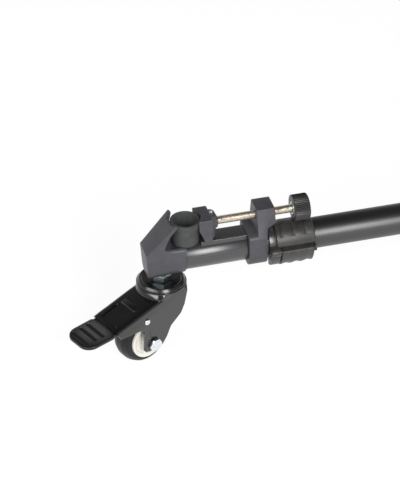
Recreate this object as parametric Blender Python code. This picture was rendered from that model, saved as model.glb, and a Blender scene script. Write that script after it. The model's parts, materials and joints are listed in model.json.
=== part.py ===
"""Tripod dolly: three telescoping arms on braked casters, folding up about a central hub.

Metres, +Z up. The origin is the centre of the hub's flat underside.
An arm is modelled in its own frame: x runs inwards from the caster's swivel axis to the hub,
z is the height above the tubes' axis. A caster has its own frame on its swivel axis, with x
along the brake pedal and z measured down from the top of the swivel ring.
"""
import math

import bmesh
import bpy
from mathutils import Matrix, Vector

# Layout
ARMS = ("a", "b", "c")
SWIVEL_TO_HUB = 0.430
HUB_UNDER_AXIS = 0.020
PEDAL_DIRECTION = math.radians(-157.6)
GAP = 0.0003
ROUND_STEPS = 12
FINE_STEPS = 16
SMALL_STEPS = 10

# Tubes
INNER_TUBE_R = 0.0125
INNER_TUBE_WALL = 0.0015
INNER_TUBE_START = 0.0070
INNER_TUBE_END = 0.300
OUTER_TUBE_WALL = 0.0012
OUTER_TUBE_START = 0.1045

# Foot seat at the arm's end
SEAT_START = -0.0164
SEAT_END = 0.0196
SEAT_WALL = 0.0025
SEAT_END_HALF_WIDTH = 0.0115
SEAT_END_DEPTH = 0.0160
SEAT_END_CORNER = 0.0055
SEAT_LEAN = 0.0025
SEAT_SHOULDER_Z = 0.0109
SEAT_TOP_Z = 0.0150
HORN_X = 0.0108
HORN_Z = 0.0405
CHEEK_FOOT_X = -0.0003
CHEEK_KNEE_X = 0.0043
CHEEK_KNEE_Z = 0.0280
PLATE_THICKNESS = 0.0034
NOTCH_HALF_WIDTH = 0.0078
NOTCH_SPREAD = 0.0050
NOTCH_DEPTH = 0.0036
SEAT_EDGE = 0.0009

# Rubber cup
CUP_X = 0.0219
CUP_HEIGHT = 0.0225
CUP_BASE_R = 0.0123
CUP_RIM_R = 0.0136
CUP_RIM_HEIGHT = 0.0060
CUP_WALL = 0.0026
CUP_FLOOR = 0.0040

# Rail sleeve that the jaw slides on
RAIL_WALL = 0.0012
RAIL_HALF_WIDTH = 0.00865
RAIL_RISE = 0.0013
RAIL_END = 0.0764

# Clamp
SCREW_OVER_RAIL = 0.0151
SCREW_R = 0.0038
SCREW_TIP = 0.0410
JAW_HALF_WIDTH = 0.0120
JAW_LIP_X = 0.0313
JAW_FOOT_X = 0.0365
JAW_BACK_X = 0.0490
JAW_BACK_CORNER = 0.0045
JAW_BOSS = 0.0015
JAW_BOSS_R = 0.0064
JAW_HEIGHT = 0.0240
BRACKET_START = 0.0767
BRACKET_LENGTH = 0.0168
BRACKET_WALL = 0.0034
BRACKET_CROWN = 0.0006
POST_START = 0.0858
POST_LENGTH = 0.0159
POST_HALF_WIDTH = 0.0094
POST_OVER_SCREW = 0.0101
POST_UNDERCUT = 0.0044
KNOB_START = 0.1202
KNOB_LENGTH = 0.0144
KNOB_R = 0.0120
KNOB_FLUTES = 12
KNOB_FLUTE_DEPTH = 0.0006
KNOB_FACE_R = 0.0098
KNOB_FACE_DEPTH = 0.0010

# Telescope lock
LOCK_START = 0.0955
LOCK_COLLAR_LENGTH = 0.0060
LOCK_GROOVE = 0.0009
LOCK_END = 0.1380
LOCK_WALL = 0.0027
LOCK_COLLAR_WALL = 0.0029
LOCK_EDGE = 0.0012
RIB_COUNT = 3
RIB_PITCH = 0.0110
RIB_WIDTH = 0.0016
RIB_RISE = 0.0008
LEVER_START = 0.1045
LEVER_LENGTH = 0.0303
LEVER_RUN = 0.0006
LEVER_WALL = 0.0056
LEVER_TAIL_ANGLE = math.radians(78)
LEVER_PIN_R = 0.0012
LEVER_PIN_OVER_LOCK = 0.0040
LEVER_PIN_DROP = 0.0002
LEVER_CAM_R = 0.0036
LEVER_SCALLOPS = 3
LEVER_SCALLOP_DEPTH = 0.0012
LEVER_END_ROUNDING = 0.35
EAR_R = 0.0034

# Hinge at the hub
HINGE_RADIUS = 0.042
HINGE_PIN_R = 0.0030
TONGUE_HALF_WIDTH = 0.0080
TONGUE_R = 0.0110
KNUCKLE_LENGTH = 0.0235
KNUCKLE_WALL = 0.0027
KNUCKLE_SETBACK = 0.0145
KNUCKLE_FLOOR = 0.0025
CLEVIS_WALL = 0.0052
CLEVIS_R = 0.0125
HUB_R = 0.0270
HUB_TOP = 0.0135
HUB_EDGE = 0.0025
CAP_R = 0.0235
CAP_THICKNESS = 0.0032
LOCK_KNOB_R = 0.0175
LOCK_KNOB_LOBES = 5
LOCK_KNOB_LOBE_DEPTH = 0.0025
LOCK_KNOB_HEIGHT = 0.0150
LOCK_KNOB_NECK_R = 0.0080
LOCK_KNOB_NECK = 0.0030
LOCK_STUD_R = 0.0040
LOCK_STUD_LENGTH = 0.0180

# Caster
RING_DROP = 0.0224
RING_R = 0.0225
RING_THICKNESS = 0.0036
RING_EDGE = 0.0012
STEM_R = 0.0050
STEM_LENGTH = 0.0230
NUT_ACROSS_FLATS = 0.0170
NUT_HEIGHT = 0.0079
KINGPIN_HEAD_R = 0.0080
KINGPIN_HEAD = 0.0025
AXLE_TRAIL = 0.0220
AXLE_DROP = 0.0522
WHEEL_R = 0.0250
TYRE_HALF_WIDTH = 0.0100
TYRE_SHOULDER_DROP = 0.0042
CORE_R = 0.0160
CORE_HALF_WIDTH = 0.0090
CORE_BOSS_R = 0.0070
CORE_RECESS = 0.0015
AXLE_R = 0.0040
AXLE_HEAD_ACROSS_FLATS = 0.0130
AXLE_HEAD = 0.0045
FORK_HALF_WIDTH = 0.0183
FORK_WALL = 0.0016
FORK_EDGE = 0.0030
FORK_SHOULDER_R = 0.0205
FORK_TONGUE_HALF_WIDTH = 0.0085
FORK_TONGUE_RISE = 0.0009
RIVET_TRAIL = 0.0300
RIVET_OVER_AXLE = 0.0277
RIVET_R = 0.0018
RIVET_HEAD_R = 0.0029
SHOE_OVER_AXLE = 0.0215
SHOE_START = 0.0385
SHOE_END = 0.0480
LEG_UNDER_AXLE = 0.0058
PEDAL_TIP = 0.0950
PEDAL_PLATE_START = 0.0646
PEDAL_HALF_WIDTH = 0.0170
PEDAL_CORNER = 0.0110
PEDAL_THICKNESS = 0.0034
PEDAL_RIBS = 3
PEDAL_RIB_RISE = 0.0010
PEDAL_RIB_WIDTH = 0.0030
PEDAL_RIB_PITCH = 0.0075

# Sizes that follow from the ones above
TUBE_BORE_R = INNER_TUBE_R + GAP
OUTER_TUBE_R = TUBE_BORE_R + OUTER_TUBE_WALL
OUTER_FIT_R = OUTER_TUBE_R + GAP
RAIL_R = TUBE_BORE_R + RAIL_WALL
RAIL_TOP = RAIL_R + RAIL_RISE
SEAT_R = TUBE_BORE_R + SEAT_WALL
BRACKET_R = TUBE_BORE_R + BRACKET_WALL
BRACKET_END = BRACKET_START + BRACKET_LENGTH
POST_END = POST_START + POST_LENGTH
SCREW_Z = RAIL_TOP + SCREW_OVER_RAIL
POST_TOP = SCREW_Z + POST_OVER_SCREW
JAW_FOOT_Z = RAIL_TOP + GAP
JAW_BOSS_X = JAW_BACK_X + JAW_BOSS
LOCK_R = OUTER_FIT_R + LOCK_WALL
LOCK_BARREL_START = LOCK_START + LOCK_COLLAR_LENGTH + LOCK_GROOVE
LOCK_COLLAR_R = TUBE_BORE_R + LOCK_COLLAR_WALL
HINGE_X = SWIVEL_TO_HUB - HINGE_RADIUS
KNUCKLE_END = HINGE_X - KNUCKLE_SETBACK
KNUCKLE_START = KNUCKLE_END - KNUCKLE_LENGTH
KNUCKLE_R = OUTER_FIT_R + KNUCKLE_WALL
OUTER_TUBE_END = KNUCKLE_END - KNUCKLE_FLOOR - GAP
CUP_BASE_Z = RAIL_R + GAP
RAIL_START = CUP_X + CUP_BASE_R + GAP
PAD_Z = -(RING_DROP - NUT_HEIGHT - GAP)
LEVER_PIN_OUT = LOCK_R + LEVER_PIN_OVER_LOCK
LEVER_PIN = (-LEVER_PIN_OUT, -LEVER_PIN_DROP)
LEVER_INNER_R = LOCK_R + LEVER_RUN
LEVER_OUTER_R = LEVER_INNER_R + LEVER_WALL
FORK_TOP = RING_THICKNESS + GAP
FORK_ROOF = FORK_TOP + 2 * FORK_WALL + 0.0033
FORK_INNER = FORK_HALF_WIDTH - FORK_WALL
RIVET_DROP = AXLE_DROP - RIVET_OVER_AXLE
SHOE_DROP = AXLE_DROP - SHOE_OVER_AXLE
LEG_BOTTOM = AXLE_DROP + LEG_UNDER_AXLE

ALONG_X = Matrix.Rotation(math.radians(90), 4, "Y")
ALONG_Y = Matrix.Rotation(math.radians(-90), 4, "X")


# Shape helpers

def to_object(bm, name):
    """Make an object of a bmesh, with its faces turned outwards."""
    bmesh.ops.recalc_face_normals(bm, faces=bm.faces)
    mesh = bpy.data.meshes.new(name)
    bm.to_mesh(mesh)
    bm.free()
    obj = bpy.data.objects.new(name, mesh)
    bpy.context.collection.objects.link(obj)
    return obj


def loft(name, rings):
    """Skin over a row of rings that have equally many points, with flat ends."""
    bm = bmesh.new()
    rows = [[bm.verts.new(point) for point in ring] for ring in rings]
    count = len(rows[0])
    for low, high in zip(rows, rows[1:]):
        for i in range(count):
            j = (i + 1) % count
            bm.faces.new((low[i], low[j], high[j], high[i]))
    bm.faces.new(rows[0])
    bm.faces.new(rows[-1])
    return to_object(bm, name)


def prism(name, outline, low, high, axis="Y"):
    """Outline pushed from low to high: (x, z) along Y, (y, z) along X or (x, y) along Z."""
    place = {
        "X": lambda a, b, c: (c, a, b),
        "Y": lambda a, b, c: (a, c, b),
        "Z": lambda a, b, c: (a, b, c),
    }[axis]
    rings = [[place(a, b, level) for a, b in outline] for level in (low, high)]
    return loft(name, rings)


def turned(name, profile, steps, matrix=None):
    """Profile of (radius, height) turned round Z. It starts and ends on the axis, or is a loop."""
    bm = bmesh.new()
    rows = []
    for radius, height in profile:
        if radius < 1e-7:
            rows.append([bm.verts.new((0, 0, height))])
            continue
        turns = (2 * math.pi * (i + 0.5) / steps for i in range(steps))
        rows.append([bm.verts.new((radius * math.cos(t), radius * math.sin(t), height)) for t in turns])
    solid = len(rows[0]) == 1
    pairs = list(zip(rows, rows[1:]))
    if not solid:
        pairs.append((rows[-1], rows[0]))
    for one, two in pairs:
        for i in range(steps):
            j = (i + 1) % steps
            if len(one) == 1:
                bm.faces.new((one[0], two[j], two[i]))
            elif len(two) == 1:
                bm.faces.new((one[i], one[j], two[0]))
            else:
                bm.faces.new((one[i], one[j], two[j], two[i]))
    obj = to_object(bm, name)
    if matrix is not None:
        obj.data.transform(matrix)
    return obj


def rod(name, radius, start, end, steps=SMALL_STEPS, matrix=None):
    """Plain round bar along Z, or along another axis by its matrix."""
    return turned(name, [(0, start), (radius, start), (radius, end), (0, end)], steps, matrix)


def pipe(name, outer, bore, start, end, steps=ROUND_STEPS, matrix=ALONG_X):
    """Round tube with square ends."""
    return turned(name, [(outer, start), (outer, end), (bore, end), (bore, start)], steps, matrix)


def rounded(corners, steps=3):
    """Polygon of (a, b, radius) corners with an arc at each corner that has a radius."""
    points = []
    count = len(corners)
    for i, (a, b, radius) in enumerate(corners):
        here = Vector((a, b))
        if radius <= 0:
            points.append((a, b))
            continue
        back = (Vector(corners[i - 1][:2]) - here).normalized()
        ahead = (Vector(corners[(i + 1) % count][:2]) - here).normalized()
        half = back.angle(ahead) / 2
        middle = here + (back + ahead).normalized() * (radius / math.sin(half))
        start = here + back * (radius / math.tan(half)) - middle
        sweep = math.pi - 2 * half
        turn = -sweep if back.cross(ahead) > 0 else sweep
        for k in range(steps + 1):
            arm = start.copy()
            arm.rotate(Matrix.Rotation(turn * k / steps, 2))
            points.append(tuple(middle + arm))
    return points


def arc(centre, radius, start, end, steps):
    """Points on an arc, angles in radians from +a towards +b."""
    angles = (start + (end - start) * k / steps for k in range(steps + 1))
    return [(centre[0] + radius * math.cos(t), centre[1] + radius * math.sin(t)) for t in angles]


def hexagon(across_flats, low, high, name):
    """Hexagonal prism along Z."""
    return prism(name, arc((0, 0), across_flats / math.sqrt(3), 0, math.tau * 5 / 6, 5), low, high, "Z")


def settle(obj):
    """Replace an object's mesh by the one that its modifiers give."""
    graph = bpy.context.evaluated_depsgraph_get()
    mesh = bpy.data.meshes.new_from_object(obj.evaluated_get(graph))
    obj.modifiers.clear()
    obj.data = mesh
    return obj


def combine(base, others, operation):
    """Boolean of the base with each of the others, which are used up."""
    for other in others:
        modifier = base.modifiers.new(other.name, "BOOLEAN")
        modifier.operation = operation
        modifier.solver = "EXACT"
        modifier.object = other
        settle(base)
        bpy.data.objects.remove(other)
    return base


def join(base, *others):
    return combine(base, others, "UNION")


def cut(base, *others):
    return combine(base, others, "DIFFERENCE")


def soften(obj, width, segments=1, angle=35):
    """Bevel the edges that are sharper than an angle in degrees."""
    modifier = obj.modifiers.new("edges", "BEVEL")
    modifier.width = width
    modifier.segments = segments
    modifier.limit_method = "ANGLE"
    modifier.angle_limit = math.radians(angle)
    modifier.harden_normals = False
    return settle(obj)


def u_section(half_width, top, bottom, corner, steps=6):
    """Half-outline of a channel: level top, upright sides, round bottom corners, in (y, z)."""
    low = [(y, z) for y, z in arc((half_width - corner, bottom + corner), corner, 0, -math.pi / 2, steps)]
    right = [(half_width, top)] + low
    left = [(-y, z) for y, z in reversed(right)]
    return right + left


# Arm pieces, in the arm's frame

def inner_tube():
    return pipe("inner_tube", INNER_TUBE_R, INNER_TUBE_R - INNER_TUBE_WALL, INNER_TUBE_START, INNER_TUBE_END)


def outer_tube():
    return pipe("outer_tube", OUTER_TUBE_R, TUBE_BORE_R, OUTER_TUBE_START, OUTER_TUBE_END)


def cup_matrix():
    """Places a shape turned round Z on the cup's axis."""
    return Matrix.Translation((CUP_X, 0, CUP_BASE_Z))


def cup_outside(margin):
    """Outer profile of the cup from its base up, grown by a margin."""
    step = CUP_HEIGHT - CUP_RIM_HEIGHT
    return [
        (CUP_BASE_R + margin, -margin),
        (CUP_BASE_R + margin, step - margin),
        (CUP_RIM_R + margin, step + 0.0008 - margin),
        (CUP_RIM_R + margin, CUP_HEIGHT + margin),
    ]


def foot_cup():
    outside = cup_outside(0)
    inside = [
        (CUP_RIM_R - CUP_WALL, CUP_HEIGHT),
        (CUP_BASE_R - CUP_WALL + 0.0006, CUP_FLOOR),
        (0, CUP_FLOOR),
    ]
    return turned("foot_cup", [(0, 0)] + outside + inside, ROUND_STEPS, cup_matrix())


def seat_side_outline():
    """Side view of the seat in (x, z): socket, shoulder, leaning plate, horn and cheeks."""
    return rounded([
        (SEAT_START + SEAT_LEAN, -SEAT_R - 0.002, 0),
        (SEAT_START, SEAT_SHOULDER_Z, 0.0015),
        (HORN_X - 0.0010, HORN_Z, 0.0012),
        (HORN_X + 0.0012, HORN_Z - 0.0016, 0.0006),
        (CHEEK_KNEE_X, CHEEK_KNEE_Z, 0),
        (CHEEK_FOOT_X, SEAT_TOP_Z + 0.0008, 0.0010),
        (CHEEK_FOOT_X + 0.0040, SEAT_TOP_Z, 0),
        (SEAT_END, SEAT_TOP_Z, 0),
        (SEAT_END, -SEAT_R - 0.002, 0),
    ], 2)


def foot_seat():
    seat = prism("foot_seat", seat_side_outline(), -0.03, 0.03)
    shell_top = HORN_Z + 0.01
    sections = []
    for x, half_width, depth, corner in (
        (SEAT_START - 0.004, SEAT_END_HALF_WIDTH, SEAT_END_DEPTH, SEAT_END_CORNER),
        (SEAT_END + 0.004, SEAT_R, SEAT_R, SEAT_R - 0.0005),
    ):
        sections.append([(x, y, z) for y, z in u_section(half_width, shell_top, -depth, corner, 8)])
    combine(seat, [loft("channel", sections)], "INTERSECT")
    soften(seat, SEAT_EDGE, 1, 50)
    slope = (HORN_X - SEAT_START) / (HORN_Z - SEAT_SHOULDER_Z)
    back = PLATE_THICKNESS / math.cos(math.atan(slope))
    trough_low = TUBE_BORE_R - 0.0030
    trough_high = HORN_Z + 0.010
    lean = SEAT_START - slope * SEAT_SHOULDER_Z + back
    inside = SEAT_END_HALF_WIDTH - 0.0002
    trough = prism("trough", [
        (lean + slope * trough_low, trough_low),
        (lean + slope * trough_high, trough_high),
        (SEAT_END + 0.02, trough_high),
        (SEAT_END + 0.02, trough_low),
    ], -inside, inside)
    notch_low = HORN_Z - NOTCH_DEPTH
    spread = NOTCH_HALF_WIDTH + NOTCH_SPREAD * 1.5
    notch = prism("notch", rounded([
        (NOTCH_HALF_WIDTH, notch_low, 0.002), (spread, notch_low + NOTCH_DEPTH * 1.5, 0),
        (-spread, notch_low + NOTCH_DEPTH * 1.5, 0), (-NOTCH_HALF_WIDTH, notch_low, 0.002),
    ], 2), SEAT_START, SEAT_END, "X")
    nest = turned("nest", [(0, -0.0003)] + cup_outside(GAP) + [(CUP_RIM_R + GAP, 0.04), (0, 0.04)],
                  ROUND_STEPS, cup_matrix())
    bore = rod("bore", TUBE_BORE_R, INNER_TUBE_START - GAP, SEAT_END + 0.01, ROUND_STEPS, ALONG_X)
    spot_r = NUT_ACROSS_FLATS / math.sqrt(3) + 0.0022
    spot = rod("spot_face", spot_r, -SEAT_R - 0.01, PAD_Z, ROUND_STEPS)
    stem_hole = rod("stem_hole", STEM_R + GAP, PAD_Z - 0.01, stem_top() + GAP, FINE_STEPS)
    return cut(seat, trough, notch, nest, bore, spot, stem_hole)


def stem_top():
    """Height of the stem's end above the tubes' axis."""
    return STEM_LENGTH - RING_DROP


def jaw_rail():
    """Sleeve on the inner tube whose crown carries the flat rail."""
    start = SEAT_END + GAP
    sleeve = rod("jaw_rail", RAIL_R, start, RAIL_END, ROUND_STEPS, ALONG_X)
    rail = prism("rail", rounded([
        (RAIL_HALF_WIDTH, 0, 0),
        (RAIL_HALF_WIDTH, RAIL_TOP, 0.0008),
        (-RAIL_HALF_WIDTH, RAIL_TOP, 0.0008),
        (-RAIL_HALF_WIDTH, 0, 0),
    ], 1), RAIL_START, RAIL_END - 0.00005, "X")
    bore = rod("bore", TUBE_BORE_R, start - 0.01, RAIL_END + 0.01, ROUND_STEPS, ALONG_X)
    return cut(join(sleeve, rail), bore)


def screw_hole(start, end):
    turn = Matrix.Translation((0, 0, SCREW_Z)) @ ALONG_X
    return rod("screw_hole", SCREW_R + GAP, start, end, SMALL_STEPS, turn)


def clamp_bracket():
    """Collar on the inner tube with the post that the clamp screw runs through."""
    collar_top = RAIL_TOP + BRACKET_CROWN + 0.0009
    lower = arc((0, 0), BRACKET_R, 0, -math.pi, 8)
    upper = arc((-BRACKET_R + 0.010, collar_top - 0.010), 0.010, math.pi, math.pi / 2, 3)
    outline = lower + upper + [(-y, z) for y, z in reversed(upper)]
    collar = prism("clamp_bracket", outline, BRACKET_START, BRACKET_END, "X")
    post = prism("post", rounded([
        (POST_START, 0.006, 0),
        (POST_START, POST_TOP, 0.0012),
        (POST_END, POST_TOP, 0.0012),
        (POST_END, SCREW_Z - POST_UNDERCUT, 0.0008),
        (BRACKET_END + 0.0006, SCREW_Z - POST_UNDERCUT - 0.0040, 0.0015),
        (BRACKET_END - 0.0010, 0.006, 0),
    ], 2), -POST_HALF_WIDTH, POST_HALF_WIDTH)
    soften(post, 0.0006, 1, 50)
    bore = rod("bore", TUBE_BORE_R, BRACKET_START - 0.01, BRACKET_END + 0.01, ROUND_STEPS, ALONG_X)
    return cut(join(collar, post), bore, screw_hole(POST_START - 0.01, POST_END + 0.01))


def clamp_jaw():
    top = JAW_FOOT_Z + JAW_HEIGHT
    block = prism("clamp_jaw", [
        (JAW_FOOT_X, JAW_FOOT_Z),
        (JAW_FOOT_X, JAW_FOOT_Z + 0.0035),
        (JAW_LIP_X + 0.0007, SCREW_Z - 0.0014),
        (JAW_LIP_X, top),
        (JAW_BACK_X + 0.01, top),
        (JAW_BACK_X + 0.01, JAW_FOOT_Z),
    ], -JAW_HALF_WIDTH - 0.01, JAW_HALF_WIDTH + 0.01)
    plan = prism("plan", rounded([
        (JAW_LIP_X - 0.01, -JAW_HALF_WIDTH, 0),
        (JAW_BACK_X, -JAW_HALF_WIDTH, JAW_BACK_CORNER),
        (JAW_BACK_X, JAW_HALF_WIDTH, JAW_BACK_CORNER),
        (JAW_LIP_X - 0.01, JAW_HALF_WIDTH, 0),
    ], 3), JAW_FOOT_Z - 0.01, top + 0.01, "Z")
    combine(block, [plan], "INTERSECT")
    soften(block, 0.0009, 1, 50)
    turn = Matrix.Translation((0, 0, SCREW_Z)) @ ALONG_X
    boss = turned("boss", [
        (0, JAW_BACK_X - 0.004), (JAW_BOSS_R, JAW_BACK_X - 0.004),
        (JAW_BOSS_R, JAW_BOSS_X - 0.0012), (JAW_BOSS_R - 0.0012, JAW_BOSS_X), (0, JAW_BOSS_X),
    ], SMALL_STEPS, turn)
    hollow = turned("hollow", [(0, -0.001)] + cup_outside(GAP) + [(CUP_RIM_R + GAP, 0.04), (0, 0.04)],
                    ROUND_STEPS, cup_matrix())
    return cut(join(block, boss), hollow, screw_hole(SCREW_TIP - GAP, JAW_BOSS_X + 0.01))


def clamp_screw():
    end = KNOB_START + KNOB_LENGTH - 0.0030
    turn = Matrix.Translation((0, 0, SCREW_Z)) @ ALONG_X
    return turned("clamp_screw", [
        (0, SCREW_TIP), (SCREW_R - 0.0008, SCREW_TIP), (SCREW_R, SCREW_TIP + 0.0008),
        (SCREW_R, end), (0, end),
    ], SMALL_STEPS, turn)


def clamp_knob():
    """Knob with a scalloped grip and a round metal face towards the clamp."""
    steps = KNOB_FLUTES * 2
    rings = []
    for x, radius in (
        (KNOB_START, KNOB_R),
        (KNOB_START + KNOB_LENGTH - 0.0016, KNOB_R),
        (KNOB_START + KNOB_LENGTH, KNOB_R - 0.0016),
    ):
        ring = []
        for i in range(steps):
            turn = math.tau * i / steps
            reach = radius - (KNOB_FLUTE_DEPTH if i % 2 else 0)
            ring.append((x, reach * math.sin(turn), SCREW_Z + reach * math.cos(turn)))
        rings.append(ring)
    knob = loft("clamp_knob", rings)
    turn = Matrix.Translation((0, 0, SCREW_Z)) @ ALONG_X
    dish = turned("dish", [
        (0, KNOB_START - 0.005), (KNOB_FACE_R, KNOB_START - 0.005),
        (KNOB_FACE_R, KNOB_START + KNOB_FACE_DEPTH), (0, KNOB_START + KNOB_FACE_DEPTH),
    ], ROUND_STEPS, turn)
    end = KNOB_START + KNOB_LENGTH - 0.0030 + GAP
    return cut(knob, dish, screw_hole(KNOB_START - 0.01, end))


def leg_lock():
    """Split collar: narrow on the inner tube, wide on the outer one, with ears for the lever's pin."""
    collar_end = LOCK_START + LOCK_COLLAR_LENGTH
    groove_r = LOCK_COLLAR_R - 0.0012
    barrel = turned("leg_lock", [
        (0, LOCK_START),
        (LOCK_COLLAR_R, LOCK_START),
        (LOCK_COLLAR_R, collar_end),
        (groove_r, collar_end),
        (groove_r, LOCK_BARREL_START),
        (LOCK_R, LOCK_BARREL_START),
        (LOCK_R, LOCK_END - LOCK_EDGE),
        (LOCK_R - LOCK_EDGE, LOCK_END),
        (0, LOCK_END),
    ], ROUND_STEPS, ALONG_X)
    bore = rod("bore", TUBE_BORE_R, LOCK_START - 0.01, LOCK_END + 0.01, ROUND_STEPS, ALONG_X)
    fit = rod("fit", OUTER_FIT_R, OUTER_TUBE_START - GAP, LOCK_END + 0.01, ROUND_STEPS, ALONG_X)
    ribs = []
    first = (LOCK_BARREL_START + LOCK_END - (RIB_COUNT - 1) * RIB_PITCH) / 2
    for i in range(RIB_COUNT):
        x = first + i * RIB_PITCH
        reach = 1.5 * math.tau / ROUND_STEPS
        angles = (math.pi / 2 - reach, math.pi / 2 + reach)
        outer = arc((0, 0), LOCK_R + RIB_RISE, angles[0], angles[1], 3)
        inner = arc((0, 0), LOCK_R - 0.001, angles[1], angles[0], 3)
        ribs.append(prism("rib", outer + inner, x - RIB_WIDTH / 2, x + RIB_WIDTH / 2, "X"))
    ears = []
    lever_end = LEVER_START + LEVER_LENGTH
    for start, end in ((LOCK_START, LEVER_START - GAP), (lever_end + GAP, LOCK_END - LOCK_EDGE)):
        outline = arc(LEVER_PIN, EAR_R, math.radians(90), math.radians(270), 4)
        outline += [(-TUBE_BORE_R / 2, LEVER_PIN[1] - EAR_R - 0.001), (-TUBE_BORE_R / 2, LEVER_PIN[1] + EAR_R)]
        ears.append(prism("ear", outline, start, end, "X"))
    pin_hole = rod("pin_hole", LEVER_PIN_R + GAP, LOCK_START - 0.01, LOCK_END + 0.01, 8,
                   Matrix.Translation((0, LEVER_PIN[0], LEVER_PIN[1])) @ ALONG_X)
    slot = prism("slot", [(-0.001, -0.03), (0.001, -0.03), (0.001, 0), (-0.001, 0)],
                 LOCK_START - 0.01, LOCK_BARREL_START + 0.006, "X")
    return cut(join(barrel, *ribs, *ears), bore, fit, pin_hole, slot)


def lock_lever():
    """Cam lever that wraps the lock from its pin down to the underside, with finger scallops."""
    inner_r = LEVER_INNER_R
    pin_angle = math.pi + math.atan2(LEVER_PIN_DROP, LEVER_PIN_OUT)
    root = math.pi + math.radians(24)
    stations = 4 * LEVER_SCALLOPS
    rings = []
    for k in range(stations + 1):
        along = k / stations
        x = LEVER_START + LEVER_LENGTH * along
        dip = LEVER_SCALLOP_DEPTH * (1 - math.cos(math.tau * LEVER_SCALLOPS * along)) / 2
        past = max(0.0, along - 1 + LEVER_END_ROUNDING) / LEVER_END_ROUNDING
        tail = math.pi + LEVER_TAIL_ANGLE * (0.45 + 0.55 * math.sqrt(1 - 0.98 * past ** 2))
        outer = arc((0, 0), LEVER_OUTER_R, pin_angle + 0.11, tail - 0.10, 4)
        outer = [scalloped(point, dip, tail) for point in outer]
        tip = [scalloped(arc((0, 0), inner_r + 0.002, tail, tail, 1)[0], dip * 0.5, tail)]
        inner = arc((0, 0), inner_r, tail - 0.03, root, 4)
        cam = arc(LEVER_PIN, LEVER_CAM_R, math.radians(-35), math.radians(35), 1)
        cam += arc(LEVER_PIN, LEVER_CAM_R, math.radians(145), math.radians(160), 1)
        rings.append([(x, y, z) for y, z in outer + tip + inner + cam])
    lever = loft("lock_lever", rings)
    pin = rod("pin", LEVER_PIN_R, LOCK_START + 0.0004, LOCK_END - LOCK_EDGE - 0.0004, 8,
              Matrix.Translation((0, LEVER_PIN[0], LEVER_PIN[1])) @ ALONG_X)
    return join(lever, pin)


def scalloped(point, dip, tail):
    """Draw an outer point inwards, more towards the lever's tail."""
    y, z = point
    angle = math.atan2(z, y) % math.tau
    share = max(0.0, (angle - math.pi) / (tail - math.pi)) ** 2
    reach = math.hypot(y, z)
    factor = (reach - dip * share) / reach
    return (y * factor, z * factor)


def arm_knuckle():
    """Cast end of the arm: socket on the outer tube and the tongue that the hub's pin holds."""
    socket = turned("arm_knuckle", [
        (0, KNUCKLE_START + 0.004), (KNUCKLE_R - 0.004, KNUCKLE_START + 0.004),
        (KNUCKLE_R - 0.0012, KNUCKLE_START), (KNUCKLE_R, KNUCKLE_START + 0.0012),
        (KNUCKLE_R, KNUCKLE_END - 0.003), (KNUCKLE_R - 0.003, KNUCKLE_END), (0, KNUCKLE_END),
    ], ROUND_STEPS, ALONG_X)
    outline = arc((HINGE_X, 0), TONGUE_R, -math.pi / 2, math.pi / 2, 6)
    outline += [(KNUCKLE_END - 0.002, TONGUE_R), (KNUCKLE_END - 0.002, -TONGUE_R)]
    tongue = prism("tongue", outline, -TONGUE_HALF_WIDTH, TONGUE_HALF_WIDTH)
    bore = rod("bore", OUTER_FIT_R, KNUCKLE_START - 0.01, OUTER_TUBE_END + GAP, ROUND_STEPS, ALONG_X)
    eye = rod("eye", HINGE_PIN_R + GAP, -0.02, 0.02, SMALL_STEPS,
              Matrix.Translation((HINGE_X, 0, 0)) @ ALONG_Y)
    return cut(join(socket, tongue), bore, eye)


# Caster pieces, in the caster's frame, with heights below the ring's top negative

def swivel_ring():
    """Bearing ring with the kingpin below it, and the threaded stem and its nut above."""
    head_top = FORK_ROOF + GAP
    ring = turned("swivel_ring", [
        (0, STEM_LENGTH), (STEM_R, STEM_LENGTH), (STEM_R, 0), (RING_R - RING_EDGE, 0),
        (RING_R, -RING_EDGE), (RING_R, -RING_THICKNESS), (STEM_R, -RING_THICKNESS),
        (STEM_R, -head_top), (KINGPIN_HEAD_R, -head_top),
        (KINGPIN_HEAD_R, -head_top - KINGPIN_HEAD), (0, -head_top - KINGPIN_HEAD),
    ], FINE_STEPS)
    return join(ring, hexagon(NUT_ACROSS_FLATS, -0.001, NUT_HEIGHT, "nut"))


HOOD_TOP = ((0.014, 0.0083), (0.024, 0.0108), (0.034, 0.0138), (0.047, 0.0177), (0.056, 0.0202))
HOOD_END = (0.0635, 0.0226)
HOOD_LIP = (0.0585, 0.0310)
LEG_OUTBOARD = 0.0330
LEG_BACK = ((-0.0095, 0.0038), (-0.0140, -0.0022), (-0.0185, -0.0117), (-0.0240, -0.0162),
            (-0.0300, -0.0212), (-0.0340, -0.0292))
LEG_ROOT = (-0.0150, 0.0061)


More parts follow.
